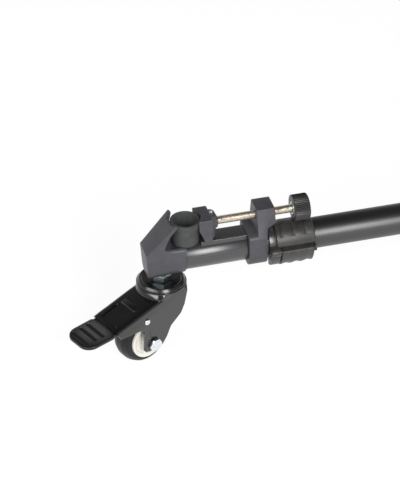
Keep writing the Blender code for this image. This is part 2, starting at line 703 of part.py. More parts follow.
def caster_fork():
    """Pressed fork: a hood that slopes down over the wheel to the pedal, and the two legs."""
    outline = [(-0.0156, -FORK_TOP - 0.0015), (0.004, -FORK_TOP - 0.0015)]
    outline += [(x, -drop) for x, drop in HOOD_TOP]
    outline += [(HOOD_END[0], -HOOD_END[1]), (HOOD_LIP[0], -HOOD_LIP[1])]
    outline += rounded([
        (HOOD_LIP[0] - 0.002, -HOOD_LIP[1], 0),
        (LEG_OUTBOARD, -HOOD_LIP[1] - 0.0005, 0.003),
        (LEG_OUTBOARD, -LEG_BOTTOM, 0.004),
        (AXLE_TRAIL + LEG_BACK[0][0] + 0.003, -LEG_BOTTOM, 0),
    ], 2)[1:]
    outline += [(AXLE_TRAIL + x, -AXLE_DROP - drop) for x, drop in LEG_BACK]
    outline += [(LEG_ROOT[0], -FORK_TOP - LEG_ROOT[1])]
    fork = prism("caster_fork", outline, -FORK_HALF_WIDTH, FORK_HALF_WIDTH)
    round_roof_edges(fork)
    shoulder = turned("shoulder", [
        (0, -FORK_TOP), (FORK_SHOULDER_R - 0.0015, -FORK_TOP), (FORK_SHOULDER_R, -FORK_TOP - 0.0008),
        (FORK_SHOULDER_R - 0.0008, -FORK_ROOF + 0.0005), (0, -FORK_ROOF + 0.0004),
    ], ROUND_STEPS)
    first, last = (0.0255, 0.0500)
    tongue = prism("tongue", rounded([
        (first, -0.020, 0), (first, -hood_drop(first) + FORK_TONGUE_RISE, 0.0004),
        (last, -hood_drop(last) + FORK_TONGUE_RISE, 0.0004), (last, -0.022, 0),
    ], 1), -FORK_TONGUE_HALF_WIDTH, FORK_TONGUE_HALF_WIDTH)
    inside = [(-0.0130, -FORK_ROOF), (0.014, -FORK_ROOF)]
    inside += [(x - 0.0003, -drop - FORK_WALL) for x, drop in HOOD_TOP if drop + FORK_WALL > FORK_ROOF]
    slope = (HOOD_END[1] - HOOD_TOP[-1][1]) / (HOOD_END[0] - HOOD_TOP[-1][0])
    far = HOOD_END[0] + 0.010
    inside += [(far, -HOOD_END[1] - FORK_WALL - slope * (far - HOOD_END[0]))]
    inside += [(far, -0.09), (-0.030, -0.09), (-0.030, -0.020)]
    cavity = prism("cavity", inside, -FORK_INNER, FORK_INNER)
    axle_hole = rod("axle_hole", AXLE_R + GAP, -0.03, 0.03, SMALL_STEPS,
                    Matrix.Translation((AXLE_TRAIL, 0, -AXLE_DROP)) @ ALONG_Y)
    rivet_hole = rod("rivet_hole", RIVET_R + GAP, -0.03, 0.03, 10,
                     Matrix.Translation((RIVET_TRAIL, 0, -RIVET_DROP)) @ ALONG_Y)
    pin_hole = rod("pin_hole", STEM_R + GAP, -0.03, 0.01, FINE_STEPS)
    join(fork, shoulder, tongue)
    return cut(fork, cavity, axle_hole, rivet_hole, pin_hole)


def hood_drop(x):
    """Drop of the hood's top at x, between its profile's points."""
    points = HOOD_TOP + (HOOD_END,)
    for (x0, drop0), (x1, drop1) in zip(points, points[1:]):
        if x0 <= x <= x1:
            return drop0 + (drop1 - drop0) * (x - x0) / (x1 - x0)
    return points[0][1]


def round_roof_edges(fork):
    """Round the long edges where the roof of the fork turns down into its sides."""
    bm = bmesh.new()
    bm.from_mesh(fork.data)
    edges = []
    for edge in bm.edges:
        one, two = (vert.co for vert in edge.verts)
        along = abs(one.y - two.y) < 1e-6
        roof = min(one.z, two.z) > -HOOD_END[1] - 0.0001
        level = abs(one.z - two.z) < abs(one.x - two.x)
        if along and roof and level:
            edges.append(edge)
    bmesh.ops.bevel(bm, geom=edges, offset=FORK_EDGE, segments=2, profile=0.5, affect="EDGES")
    bm.to_mesh(fork.data)
    bm.free()


def tyre():
    """Crowned tread."""
    half = TYRE_HALF_WIDTH
    shoulder = WHEEL_R - TYRE_SHOULDER_DROP
    outer = [
        (shoulder, -half), (WHEEL_R - 0.0020, -half + 0.0016), (WHEEL_R, -0.0028),
        (WHEEL_R, 0.0028), (WHEEL_R - 0.0020, half - 0.0016), (shoulder, half),
    ]
    bore = [(CORE_R + GAP, half), (CORE_R + GAP, -half)]
    return turned("tyre", outer + bore, FINE_STEPS, axle_matrix())


def axle_matrix():
    return Matrix.Translation((AXLE_TRAIL, 0, -AXLE_DROP)) @ ALONG_Y


def wheel_core():
    """Nylon centre with a dished face and a boss that spaces it between the legs."""
    boss = FORK_INNER - 0.0005
    half = CORE_HALF_WIDTH
    face = half - CORE_RECESS
    side = [(CORE_BOSS_R, boss), (CORE_BOSS_R, face), (CORE_R - 0.0025, half), (CORE_R, half)]
    other = [(radius, -height) for radius, height in reversed(side)]
    bore = [(AXLE_R + GAP, -boss), (AXLE_R + GAP, boss)]
    return turned("wheel_core", side + other + bore, FINE_STEPS, axle_matrix())


def axle_bolt():
    """Axle with a hexagon head outside one leg and a nut outside the other."""
    reach = FORK_HALF_WIDTH + GAP
    shaft = rod("axle_bolt", AXLE_R, -reach - AXLE_HEAD - 0.002, reach + 0.001, SMALL_STEPS)
    head = hexagon(AXLE_HEAD_ACROSS_FLATS, reach, reach + AXLE_HEAD, "head")
    nut = hexagon(AXLE_HEAD_ACROSS_FLATS, -reach - AXLE_HEAD, -reach, "nut")
    bolt = join(shaft, head, nut)
    bolt.data.transform(axle_matrix())
    return bolt


def pedal_rivet():
    """Rivet through both sides of the hood with domed heads."""
    reach = FORK_HALF_WIDTH + GAP
    half = [
        (RIVET_R, reach), (RIVET_HEAD_R, reach), (RIVET_HEAD_R - 0.0010, reach + 0.0013),
        (0, reach + 0.0016),
    ]
    profile = [(radius, -height) for radius, height in reversed(half)] + half
    return turned("pedal_rivet", profile, SMALL_STEPS,
                  Matrix.Translation((RIVET_TRAIL, 0, -RIVET_DROP)) @ ALONG_Y)


def brake_pedal():
    """Pedal: an arm inside the hood with the brake shoe, and the ribbed plate outside it."""
    plate_top = HOOD_END[1] + FORK_WALL + 0.0007
    tip_top = plate_top + 0.0024
    hinge = (RIVET_TRAIL, -RIVET_DROP)
    boss_r = RIVET_R + GAP + 0.0013
    arm = arc(hinge, boss_r, math.radians(75), math.radians(285), 6)
    arm += [
        (SHOE_START, -SHOE_DROP + 0.0019), (SHOE_START + 0.0020, -SHOE_DROP),
        (SHOE_END - 0.0030, -SHOE_DROP), (SHOE_END, -SHOE_DROP + 0.0017),
        (PEDAL_PLATE_START + 0.002, -plate_top - PEDAL_THICKNESS),
        (PEDAL_PLATE_START + 0.002, -plate_top - 0.0002), (PEDAL_PLATE_START - 0.0080, -plate_top - 0.0001),
        (0.0400, -0.0213),
    ]
    arm = prism("brake_pedal", arm, -(FORK_INNER - 0.0012), FORK_INNER - 0.0012)
    corners = [
        (PEDAL_PLATE_START, -PEDAL_HALF_WIDTH, 0.0015), (PEDAL_TIP, -PEDAL_HALF_WIDTH, PEDAL_CORNER),
        (PEDAL_TIP, PEDAL_HALF_WIDTH, PEDAL_CORNER), (PEDAL_PLATE_START, PEDAL_HALF_WIDTH, 0.0015),
    ]
    plate = prism("plate", rounded(corners, 4), -plate_top - PEDAL_THICKNESS, -plate_top, "Z")
    ribs = []
    middle = (PEDAL_PLATE_START + PEDAL_TIP) / 2
    for i in range(PEDAL_RIBS):
        x = middle + (i - (PEDAL_RIBS - 1) / 2) * PEDAL_RIB_PITCH
        half = PEDAL_HALF_WIDTH - 0.0040 - (0.0030 if i == PEDAL_RIBS - 1 else 0)
        foot = PEDAL_RIB_WIDTH / 2
        crest = PEDAL_RIB_WIDTH / 4
        section = [
            (x - foot, -plate_top - 0.001), (x - crest, -plate_top + PEDAL_RIB_RISE),
            (x + crest, -plate_top + PEDAL_RIB_RISE), (x + foot, -plate_top - 0.001),
        ]
        ribs.append(prism("rib", section, -half, half))
    slope = (tip_top - plate_top) / (PEDAL_TIP - PEDAL_PLATE_START)
    join(plate, *ribs)
    for vert in plate.data.vertices:
        vert.co.z -= slope * max(0.0, vert.co.x - PEDAL_PLATE_START)
    eye = rod("eye", RIVET_R + GAP, -0.03, 0.03, 10,
              Matrix.Translation((RIVET_TRAIL, 0, -RIVET_DROP)) @ ALONG_Y)
    return cut(join(arm, plate), eye)


# Hub pieces, with x outwards from the hub's centre and z above the tubes' axis

def hub_body():
    """Cast hub with a clevis and a hinge pin for each arm."""
    bottom = -HUB_UNDER_AXIS
    hub = turned("hub_body", [
        (0, bottom), (HUB_R - HUB_EDGE, bottom), (HUB_R, bottom + HUB_EDGE),
        (HUB_R, HUB_TOP - 0.0010), (HUB_R - 0.0010, HUB_TOP), (0, HUB_TOP),
    ], FINE_STEPS)
    half = TONGUE_HALF_WIDTH + GAP + CLEVIS_WALL
    pocket = HINGE_RADIUS - TONGUE_R - 0.0015
    for i in range(len(ARMS)):
        turn = Matrix.Rotation(math.pi + math.tau * i / len(ARMS), 4, "Z")
        outline = arc((HINGE_RADIUS, 0), CLEVIS_R, -math.pi / 2, math.pi / 2, 6)
        outline += [(HUB_R - 0.012, CLEVIS_R), (HUB_R - 0.012, -CLEVIS_R - 0.002)]
        clevis = prism("clevis", outline, -half, half)
        slot = prism("slot", [(pocket, -0.03), (0.09, -0.03), (0.09, 0.03), (pocket, 0.03)],
                     -TONGUE_HALF_WIDTH - GAP, TONGUE_HALF_WIDTH + GAP)
        pin = rod("pin", HINGE_PIN_R, -half - 0.0008, half + 0.0008, SMALL_STEPS,
                  Matrix.Translation((HINGE_RADIUS, 0, 0)) @ ALONG_Y)
        for shape in (clevis, slot, pin):
            shape.data.transform(turn)
        join(hub, clevis)
        cut(hub, slot)
        join(hub, pin)
    stud_hole = rod("stud_hole", LOCK_STUD_R + GAP, HUB_TOP - LOCK_STUD_LENGTH, HUB_TOP + 0.01, SMALL_STEPS)
    return cut(hub, stud_hole)


def hub_cap():
    low = HUB_TOP + GAP
    high = low + CAP_THICKNESS
    bore = LOCK_STUD_R + GAP
    return turned("hub_cap", [
        (CAP_R, low), (CAP_R, high - 0.0012), (CAP_R - 0.0012, high),
        (LOCK_KNOB_NECK_R + 0.001, high), (bore, high), (bore, low),
    ], FINE_STEPS)


def lock_knob():
    """Lobed hand knob on the stud that draws the hub's plate down on the arms."""
    low = HUB_TOP + GAP + CAP_THICKNESS + GAP
    neck = turned("lock_knob", [
        (0, HUB_TOP - LOCK_STUD_LENGTH + 0.002), (LOCK_STUD_R, HUB_TOP - LOCK_STUD_LENGTH + 0.002),
        (LOCK_STUD_R, low), (LOCK_KNOB_NECK_R, low), (LOCK_KNOB_NECK_R, low + LOCK_KNOB_NECK + 0.001),
        (0, low + LOCK_KNOB_NECK + 0.001),
    ], SMALL_STEPS)
    steps = LOCK_KNOB_LOBES * 6
    rings = []
    base = low + LOCK_KNOB_NECK
    top = low + LOCK_KNOB_HEIGHT
    for z, shrink in ((base, 0.0020), (base + 0.002, 0), (top - 0.003, 0.0004), (top, 0.0035)):
        ring = []
        for k in range(steps):
            turn = math.tau * k / steps
            reach = LOCK_KNOB_R - shrink - LOCK_KNOB_LOBE_DEPTH * (1 - math.cos(LOCK_KNOB_LOBES * turn)) / 2
            ring.append((reach * math.cos(turn), reach * math.sin(turn), z))
        rings.append(ring)
    return join(neck, loft("grip", rings))


# Materials

def material(name, colour, roughness, metallic=0.0):
    result = bpy.data.materials.new(name)
    result.use_nodes = True
    shader = result.node_tree.nodes["Principled BSDF"]
    shader.inputs["Base Color"].default_value = (*colour, 1)
    shader.inputs["Roughness"].default_value = roughness
    shader.inputs["Metallic"].default_value = metallic
    return result


# Assembly

def empty(name, parent, offset, turn=0.0):
    """Joint marker at an offset in its parent's frame."""
    marker = bpy.data.objects.new(name, None)
    marker.empty_display_size = 0.01
    marker.parent = parent
    marker.location = offset
    marker.rotation_euler = (0, 0, turn)
    bpy.context.collection.objects.link(marker)
    return marker


def finish_mesh(obj, offset, look):
    """Triangulate, shade, colour and move a mesh so that its origin is on its joint."""
    bm = bmesh.new()
    bm.from_mesh(obj.data)
    bmesh.ops.remove_doubles(bm, verts=bm.verts, dist=0.000002)
    bmesh.ops.dissolve_degenerate(bm, edges=bm.edges, dist=0.000002)
    bmesh.ops.dissolve_limit(bm, angle_limit=math.radians(1), verts=bm.verts, edges=bm.edges)
    bmesh.ops.triangulate(bm, faces=bm.faces)
    bmesh.ops.translate(bm, vec=-Vector(offset), verts=bm.verts)
    bm.to_mesh(obj.data)
    bm.free()
    obj.data.materials.clear()
    obj.data.materials.append(look)
    obj.data.shade_smooth()
    obj.data.set_sharp_from_angle(angle=math.radians(35))
    return obj.data


def clear_scene():
    for obj in list(bpy.data.objects):
        bpy.data.objects.remove(obj)


def build():
    clear_scene()
    cast = material("cast_grey_black", (0.045, 0.043, 0.045), 0.55)
    moulded = material("moulded_black", (0.025, 0.025, 0.026), 0.45)
    anodised = material("black_anodised", (0.020, 0.020, 0.022), 0.30, 0.6)
    gloss = material("gloss_black_steel", (0.010, 0.010, 0.011), 0.15)
    zinc = material("zinc_plate", (0.55, 0.56, 0.58), 0.28, 1.0)
    nickel = material("warm_nickel", (0.62, 0.55, 0.46), 0.28, 1.0)
    rubber = material("grey_green_rubber", (0.085, 0.090, 0.085), 0.75)
    nylon = material("ivory_nylon", (0.80, 0.78, 0.72), 0.40)
    tread = material("black_polyurethane", (0.022, 0.022, 0.023), 0.50)

    swivel = Vector((0, 0, -RING_DROP))
    hinge = Vector((HINGE_X, 0, 0))
    screw = Vector((SCREW_TIP, 0, SCREW_Z))
    lever = Vector((LEVER_START, LEVER_PIN[0], LEVER_PIN[1]))
    axle = Vector((AXLE_TRAIL, 0, -AXLE_DROP))
    rivet = Vector((RIVET_TRAIL, 0, -RIVET_DROP))
    origin = Vector((0, 0, 0))
    pieces = (
        (inner_tube, "slide", origin, anodised), (jaw_rail, "slide", origin, gloss),
        (foot_seat, "slide", origin, cast), (foot_cup, "slide", origin, rubber),
        (clamp_bracket, "slide", origin, cast), (clamp_jaw, "jaw", screw, cast),
        (clamp_screw, "screw", screw, nickel), (clamp_knob, "screw", screw, moulded),
        (outer_tube, "fold", hinge, anodised), (leg_lock, "fold", hinge, moulded),
        (arm_knuckle, "fold", hinge, cast), (lock_lever, "lever", lever, moulded),
        (swivel_ring, "ring", origin, gloss), (caster_fork, "caster", origin, gloss),
        (axle_bolt, "caster", origin, zinc), (pedal_rivet, "caster", origin, zinc),
        (tyre, "wheel", axle, tread), (wheel_core, "wheel", axle, nylon),
        (brake_pedal, "pedal", rivet, moulded),
    )
    meshes = []
    for make, joint, offset, look in pieces:
        template = make()
        meshes.append((make.__name__, joint, finish_mesh(template, offset, look)))
        bpy.data.objects.remove(template)

    for i, arm in enumerate(ARMS):
        base = empty(f"frame_{arm}", None, (0, 0, HUB_UNDER_AXIS), math.tau * i / len(ARMS))
        joints = {"fold": empty(f"fold_{arm}", base, (-HINGE_RADIUS, 0, 0))}
        joints["slide"] = empty(f"slide_{arm}", joints["fold"], -hinge)
        joints["lever"] = empty(f"lever_{arm}", joints["fold"], lever - hinge)
        joints["jaw"] = empty(f"jaw_{arm}", joints["slide"], screw)
        joints["screw"] = empty(f"screw_{arm}", joints["jaw"], origin)
        joints["ring"] = empty(f"ring_{arm}", joints["slide"], swivel)
        joints["caster"] = empty(f"caster_{arm}", joints["slide"], swivel, PEDAL_DIRECTION)
        joints["wheel"] = empty(f"wheel_{arm}", joints["caster"], axle)
        joints["pedal"] = empty(f"pedal_{arm}", joints["caster"], rivet)
        for name, joint, mesh in meshes:
            obj = bpy.data.objects.new(f"{name}_{arm}", mesh)
            obj.parent = joints[joint]
            bpy.context.collection.objects.link(obj)

    for make, look in ((hub_body, cast), (hub_cap, moulded), (lock_knob, moulded)):
        piece = make()
        finish_mesh(piece, origin, look)
        piece.name = make.__name__
        piece.location.z = HUB_UNDER_AXIS


build()
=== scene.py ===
import json
import math

import bmesh
import bpy
from mathutils import Matrix, Vector


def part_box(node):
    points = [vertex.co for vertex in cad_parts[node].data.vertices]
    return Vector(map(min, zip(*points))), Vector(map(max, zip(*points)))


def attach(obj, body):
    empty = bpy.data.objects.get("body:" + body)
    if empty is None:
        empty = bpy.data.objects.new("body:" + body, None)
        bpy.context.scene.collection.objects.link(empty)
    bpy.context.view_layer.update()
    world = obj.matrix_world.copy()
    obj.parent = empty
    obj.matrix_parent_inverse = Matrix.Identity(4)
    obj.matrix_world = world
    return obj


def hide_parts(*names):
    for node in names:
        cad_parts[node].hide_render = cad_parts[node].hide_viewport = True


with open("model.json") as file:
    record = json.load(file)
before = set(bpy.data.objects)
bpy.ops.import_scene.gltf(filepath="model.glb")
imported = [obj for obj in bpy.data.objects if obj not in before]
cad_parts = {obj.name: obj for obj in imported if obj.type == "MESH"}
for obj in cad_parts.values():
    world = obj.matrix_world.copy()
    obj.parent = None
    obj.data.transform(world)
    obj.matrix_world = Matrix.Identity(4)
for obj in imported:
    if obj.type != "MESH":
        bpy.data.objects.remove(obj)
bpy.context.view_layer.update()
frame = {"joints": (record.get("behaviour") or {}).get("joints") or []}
print("frame loaded")

arms = "abc"
mm = 0.001
clearance = 0.3  # running gap that the solids keep, in mm


# Where the frame puts things

joints = {joint["name"]: joint for joint in frame["joints"]}


def jointPoint(name):
    return Vector(joints[name]["pos_m"])


def uprightFrame(origin, ahead, across):
    return Matrix.Translation(origin) @ Matrix((ahead, across, (0, 0, 1))).transposed().to_4x4()


def armFrame(arm):  # x runs inwards along the tube from the swivel, z up from the tube's axis
    swivel = jointPoint(f"caster_swivel_{arm}")
    inwards = -Vector(joints[f"telescope_{arm}"]["axis"])
    across = Vector((0, 0, 1)).cross(inwards)
    return uprightFrame((swivel.x, swivel.y, jointPoint(f"fold_{arm}").z), inwards, across)


def casterFrame(arm):  # x runs along the pedal from the swivel, z up from the ring's top
    across = Vector(joints[f"wheel_spin_{arm}"]["axis"])
    return uprightFrame(jointPoint(f"caster_swivel_{arm}"), across.cross(Vector((0, 0, 1))), across)


def inFrame(point, matrix):  # a point of the frame, in a local frame's millimetres
    return (matrix.inverted() @ point) / mm


armA, casterA = armFrame("a"), casterFrame("a")
screwAt = inFrame(jointPoint("screw_turn_a"), armA)
leverPin = inFrame(jointPoint("lever_open_a"), armA)
hingeAt = inFrame(jointPoint("fold_a"), armA)
wheelAt = inFrame(jointPoint("wheel_spin_a"), casterA)
pedalAt = inFrame(jointPoint("pedal_press_a"), casterA)
ringTop = inFrame(jointPoint("caster_swivel_a"), armA).z
tubeHeight = jointPoint("fold_a").z / mm

alongX = Matrix.Rotation(math.radians(90), 4, "Y")
alongY = Matrix.Rotation(math.radians(-90), 4, "X")


# Mesh helpers, in millimetres

def newPiece(bm, name="blank"):
    bmesh.ops.remove_doubles(bm, verts=bm.verts, dist=0.002)
    bmesh.ops.recalc_face_normals(bm, faces=bm.faces)
    mesh = bpy.data.meshes.new(name)
    bm.to_mesh(mesh)
    bm.free()
    piece = bpy.data.objects.new(name, mesh)
    bpy.context.scene.collection.objects.link(piece)
    return piece


def loft(rings):  # skin over rings of equally many points
    bm = bmesh.new()
    rows = [[bm.verts.new(point) for point in ring] for ring in rings]
    count = len(rows[0])
    for low, high in zip(rows, rows[1:]):
        for i in range(count):
            j = (i + 1) % count
            bm.faces.new((low[i], low[j], high[j], high[i]))
    bm.faces.new(rows[0])
    bm.faces.new(rows[-1])
    return newPiece(bm)


def prism(outline, low, high, axis="Y"):  # (x, z) along Y, (y, z) along X or (x, y) along Z
    order = {"X": (2, 0, 1), "Y": (0, 2, 1), "Z": (0, 1, 2)}[axis]
    return loft([[tuple((a, b, level)[i] for i in order) for a, b in outline] for level in (low, high)])


def turned(profile, steps, matrix=None):  # profile of (radius, height) that ends on the axis or is a loop
    bm = bmesh.new()
    rows = []
    for radius, height in profile:
        if radius < 1e-6:
            rows.append([bm.verts.new((0, 0, height))])
            continue
        turns = (math.tau * (i + 0.5) / steps for i in range(steps))
        rows.append([bm.verts.new((radius * math.cos(t), radius * math.sin(t), height)) for t in turns])
    pairs = list(zip(rows, rows[1:]))
    if len(rows[0]) > 1:
        pairs.append((rows[-1], rows[0]))
    for one, two in pairs:
        for i in range(steps):
            j = (i + 1) % steps
            if len(one) == 1:
                bm.faces.new((one[0], two[j], two[i]))
            elif len(two) == 1:
                bm.faces.new((one[i], one[j], two[0]))
            else:
                bm.faces.new((one[i], one[j], two[j], two[i]))
    piece = newPiece(bm)
    if matrix is not None:
        piece.data.transform(matrix)
    return piece


def rod(radius, low, high, steps=32, matrix=None):  # plain cylinder, for holes and recesses
    return turned([(0, low), (radius, low), (radius, high), (0, high)], steps, matrix)


def mirrored(half, axis=1):  # half an outline, then its mirror image in the first or second coordinate
    return half + [(-a, b, *rest) if axis == 0 else (a, -b, *rest) for a, b, *rest in reversed(half)]


def rounded(corners, steps):  # fillet each (a, b, radius) corner, and leave each (a, b) as it is
    points = []
    count = len(corners)
    for i, corner in enumerate(corners):
        if len(corner) == 2:
            points.append(corner)
            continue
        a, b, radius = corner
        here = Vector((a, b))
        back = (Vector(corners[i - 1][:2]) - here).normalized()
        ahead = (Vector(corners[(i + 1) % count][:2]) - here).normalized()
        half = back.angle(ahead) / 2
        middle = here + (back + ahead).normalized() * (radius / math.sin(half))
        start = here + back * (radius / math.tan(half)) - middle
        sweep = math.pi - 2 * half
        turn = -sweep if back.cross(ahead) > 0 else sweep
        for k in range(steps + 1):
            spoke = start.copy()
            spoke.rotate(Matrix.Rotation(turn * k / steps, 2))
            points.append(tuple(middle + spoke))
    return points


def arc(centre, radius, start, end, steps):  # angles in degrees from +a towards +b
    angles = (math.radians(start + (end - start) * k / steps) for k in range(steps + 1))
    return [(centre[0] + radius * math.cos(t), centre[1] + radius * math.sin(t)) for t in angles]


def bake(piece):  # take the mesh that the modifiers give
    graph = bpy.context.evaluated_depsgraph_get()
    mesh = bpy.data.meshes.new_from_object(piece.evaluated_get(graph))
    piece.modifiers.clear()
    piece.data = mesh
    return piece


def combine(base, others, operation):
    for other in others:
        modifier = base.modifiers.new(other.name, "BOOLEAN")
        modifier.operation = operation
        modifier.solver = "EXACT"
        modifier.object = other
        bake(base)
        bpy.data.objects.remove(other)
    return base


def join(base, *others):
    return combine(base, others, "UNION")


def cut(base, *others):
    return combine(base, others, "DIFFERENCE")


def soften(piece, width, segments=3, angle=50):  # round every edge sharper than the angle
    modifier = piece.modifiers.new("edges", "BEVEL")
    modifier.width = width
    modifier.segments = segments
    modifier.limit_method = "ANGLE"
    modifier.angle_limit = math.radians(angle)
    modifier.use_clamp_overlap = True
    return bake(piece)


def roundEdges(piece, radius, chosen):  # round only the edges that the test picks
    bm = bmesh.new()
    bm.from_mesh(piece.data)
    edges = [edge for edge in bm.edges if chosen(edge.verts[0].co, edge.verts[1].co)]
    bmesh.ops.bevel(bm, geom=edges, offset=radius, segments=6, profile=0.5, affect="EDGES")
    bm.to_mesh(piece.data)
    bm.free()


def castSkin(piece, voxel, passes, keep):  # melt the edges as a casting or moulding has them
    remesh = piece.modifiers.new("skin", "REMESH")
    remesh.mode = "VOXEL"
    remesh.voxel_size = voxel
    smooth = piece.modifiers.new("melt", "SMOOTH")
    smooth.factor = 0.5
    smooth.iterations = passes
    piece.modifiers.new("fewer", "DECIMATE").ratio = keep
    return bake(piece)


def screwThread(radius, pitch, depth, start, end, matrix, around=24, perTurn=6):  # one helix on a rod
    rings = []
    count = int((end - start) / pitch * perTurn)
    for k in range(count + 1):
        height = start + (end - start) * k / count
        fade = min(1.0, k / 3, (count - k) / 3)
        ring = []
        for i in range(around):
            turn = math.tau * i / around
            crest = abs(2 * ((height / pitch - i / around) % 1.0) - 1)
            reach = radius - depth * crest * fade - (1 - fade) * depth
            ring.append((reach * math.cos(turn), reach * math.sin(turn), height))
        rings.append(ring)
    piece = loft(rings)
    piece.data.transform(matrix)
    return piece


def hexagon(acrossFlats, low, high, chamfer):  # nut or bolt head with turned corners
    corner = acrossFlats / math.sqrt(3)
    flat = acrossFlats / 2
    body = prism(arc((0, 0), corner, 0, 300, 5), low, high, "Z")
    rim = turned([
        (0, low), (flat - 0.2, low), (corner, low + chamfer), (corner, high - chamfer), (flat - 0.2, high),
        (0, high),
    ], 48)
    return combine(body, [rim], "INTERSECT")


# Where each finished piece goes

def shade(piece, look, sharp=32):
    piece.data.materials.clear()
    piece.data.materials.append(look)
    piece.data.shade_smooth()
    piece.data.set_sharp_from_angle(angle=math.radians(sharp))


def place(piece, name, local, body, nodes, slotName):
    mesh = piece.data.copy()
    mesh.transform(Matrix.Diagonal((mm, mm, mm, 1)))
    made = bpy.data.objects.new(name, mesh)
    bpy.context.scene.collection.objects.link(made)
    made.matrix_world = local
    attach(made, body)
    if nodes:
        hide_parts(*nodes)


def onEachArm(piece, name, look, slotName, body, node=None, local=armFrame, sharp=32):
    shade(piece, look, sharp)
    for arm in arms:
        nodes = [f"{node}_{arm}"] if node else []
        place(piece, f"{name}_{arm}", local(arm), f"{body}_{arm}", nodes, slotName)
    bpy.data.objects.remove(piece)


def onHub(piece, name, look, slotName, body, node=None, sharp=32):
    shade(piece, look, sharp)
    place(piece, name, Matrix.Translation((0, 0, tubeHeight * mm)), body, [node] if node else [], slotName)
    bpy.data.objects.remove(piece)


# Materials

def linear(hexCode):  # sRGB hex to the linear values that sockets take
    channels = [int(hexCode[i:i + 2], 16) / 255 for i in (1, 3, 5)]
    curve = [c / 12.92 if c <= 0.04045 else ((c + 0.055) / 1.055) ** 2.4 for c in channels]
    return (*curve, 1.0)


def addNode(tree, kind, settings=None, links=None):  # settings go to sockets or properties, links to sockets
    node = tree.nodes.new(kind)
    for key, value in (settings or {}).items():
        if isinstance(key, int) or key in node.inputs:
            node.inputs[key].default_value = value
        else:
            setattr(node, key, value)
    for key, source in (links or {}).items():
        tree.links.new(source, node.inputs[key])
    return node


def objectCoords(tree):
    return addNode(tree, "ShaderNodeTexCoord").outputs["Object"]


def clouds(tree, size, settings, stretch=(1, 1, 1)):  # noise with features about so many mm across
    mapping = addNode(tree, "ShaderNodeMapping", {"Scale": stretch}, {"Vector": objectCoords(tree)})
    settings = {"Scale": 1000 / size, **settings}
    return addNode(tree, "ShaderNodeTexNoise", settings, {"Vector": mapping.outputs[0]}).outputs["Fac"]


def surface(name, tones, patch, rough, depth, grain=None, stretch=(1, 1, 1), sockets=None):
    look = bpy.data.materials.new(name)  # sizes and depth in mm; grain is (size, detail)
    look.use_nodes = True
    tree = look.node_tree
    shader = tree.nodes["Principled BSDF"]
    for key, value in (sockets or {}).items():
        shader.inputs[key].default_value = value
    patches = clouds(tree, patch, {"Detail": 4.0, "Roughness": 0.55}, stretch)
    ramp = addNode(tree, "ShaderNodeValToRGB", {}, {"Fac": patches})  # two close tones in soft patches
    for stop, position, tone in zip(ramp.color_ramp.elements, (0.32, 0.68), tones):
        stop.position, stop.color = position, linear(tone)
    spread = addNode(tree, "ShaderNodeMapRange", {"To Min": rough[0], "To Max": rough[1]}, {"Value": patches})
    height = clouds(tree, grain[0], {"Detail": grain[1]}) if grain else patches
    bump = addNode(tree, "ShaderNodeBump", {"Strength": 1.0, "Distance": depth * mm}, {"Height": height})
    for key, source in (("Base Color", ramp), ("Roughness", spread), ("Normal", bump)):
        tree.links.new(source.outputs[0], shader.inputs[key])
    return look


def mouldedNylon(name, *tones):  # injection moulded: black-brown satin with a spark-eroded grain
    return surface(name, tones, patch=7.0, rough=(0.34, 0.46), depth=0.02, grain=(0.5, 3.0),
                   sockets={"IOR": 1.53})


def anodised(name, tones, line, rough, depth, ior):  # drawn aluminium: faint lines along the tube
    return surface(name, tones, line, rough, depth, stretch=(0.03, 1, 1), sockets={"IOR": ior})


def stovedEnamel(name, coat, rough):  # electrocoated steel: deep gloss black, long highlights on folds
    return surface(name, ("#0b0b0c", "#121213"), patch=14.0, rough=rough, depth=0.02, grain=(5.0, 2.0),
                   sockets={"IOR": 1.7, "Coat Weight": coat, "Coat Roughness": 0.08})


def plated(name, tones, patch, rough, depth):  # plated steel: metal with a haze that drifts
    return surface(name, tones, patch, rough, depth, sockets={"Metallic": 1.0})


# The last three entries set a painted sheen: a lighter grey painted onto the flats between the grooves, fading
# out round a spot near the pedal's middle, in place of the light those flats would catch.
pedal = {"tip": 95.0, "plateStart": 64.6, "plateTop": 24.9, "half": 17.0, "corner": 11.0, "thickness": 3.4,
         "droop": 2.4, "grooves": (72.4, 80.2, 89.0), "grooveWidth": 4.0, "grooveDepth": 1.3,
         "grooveSpan": (-14.0, 11.5), "paintedSheen": "#504e4e", "sheenCentre": (0.073, -0.002, -0.026),
         "sheenReach": (0.021, 0.010)}
pedalSlope = pedal["droop"] / (pedal["tip"] - pedal["plateStart"])
pedalFlat = (pedalSlope * pedal["plateStart"] - pedal["plateTop"]) * mm


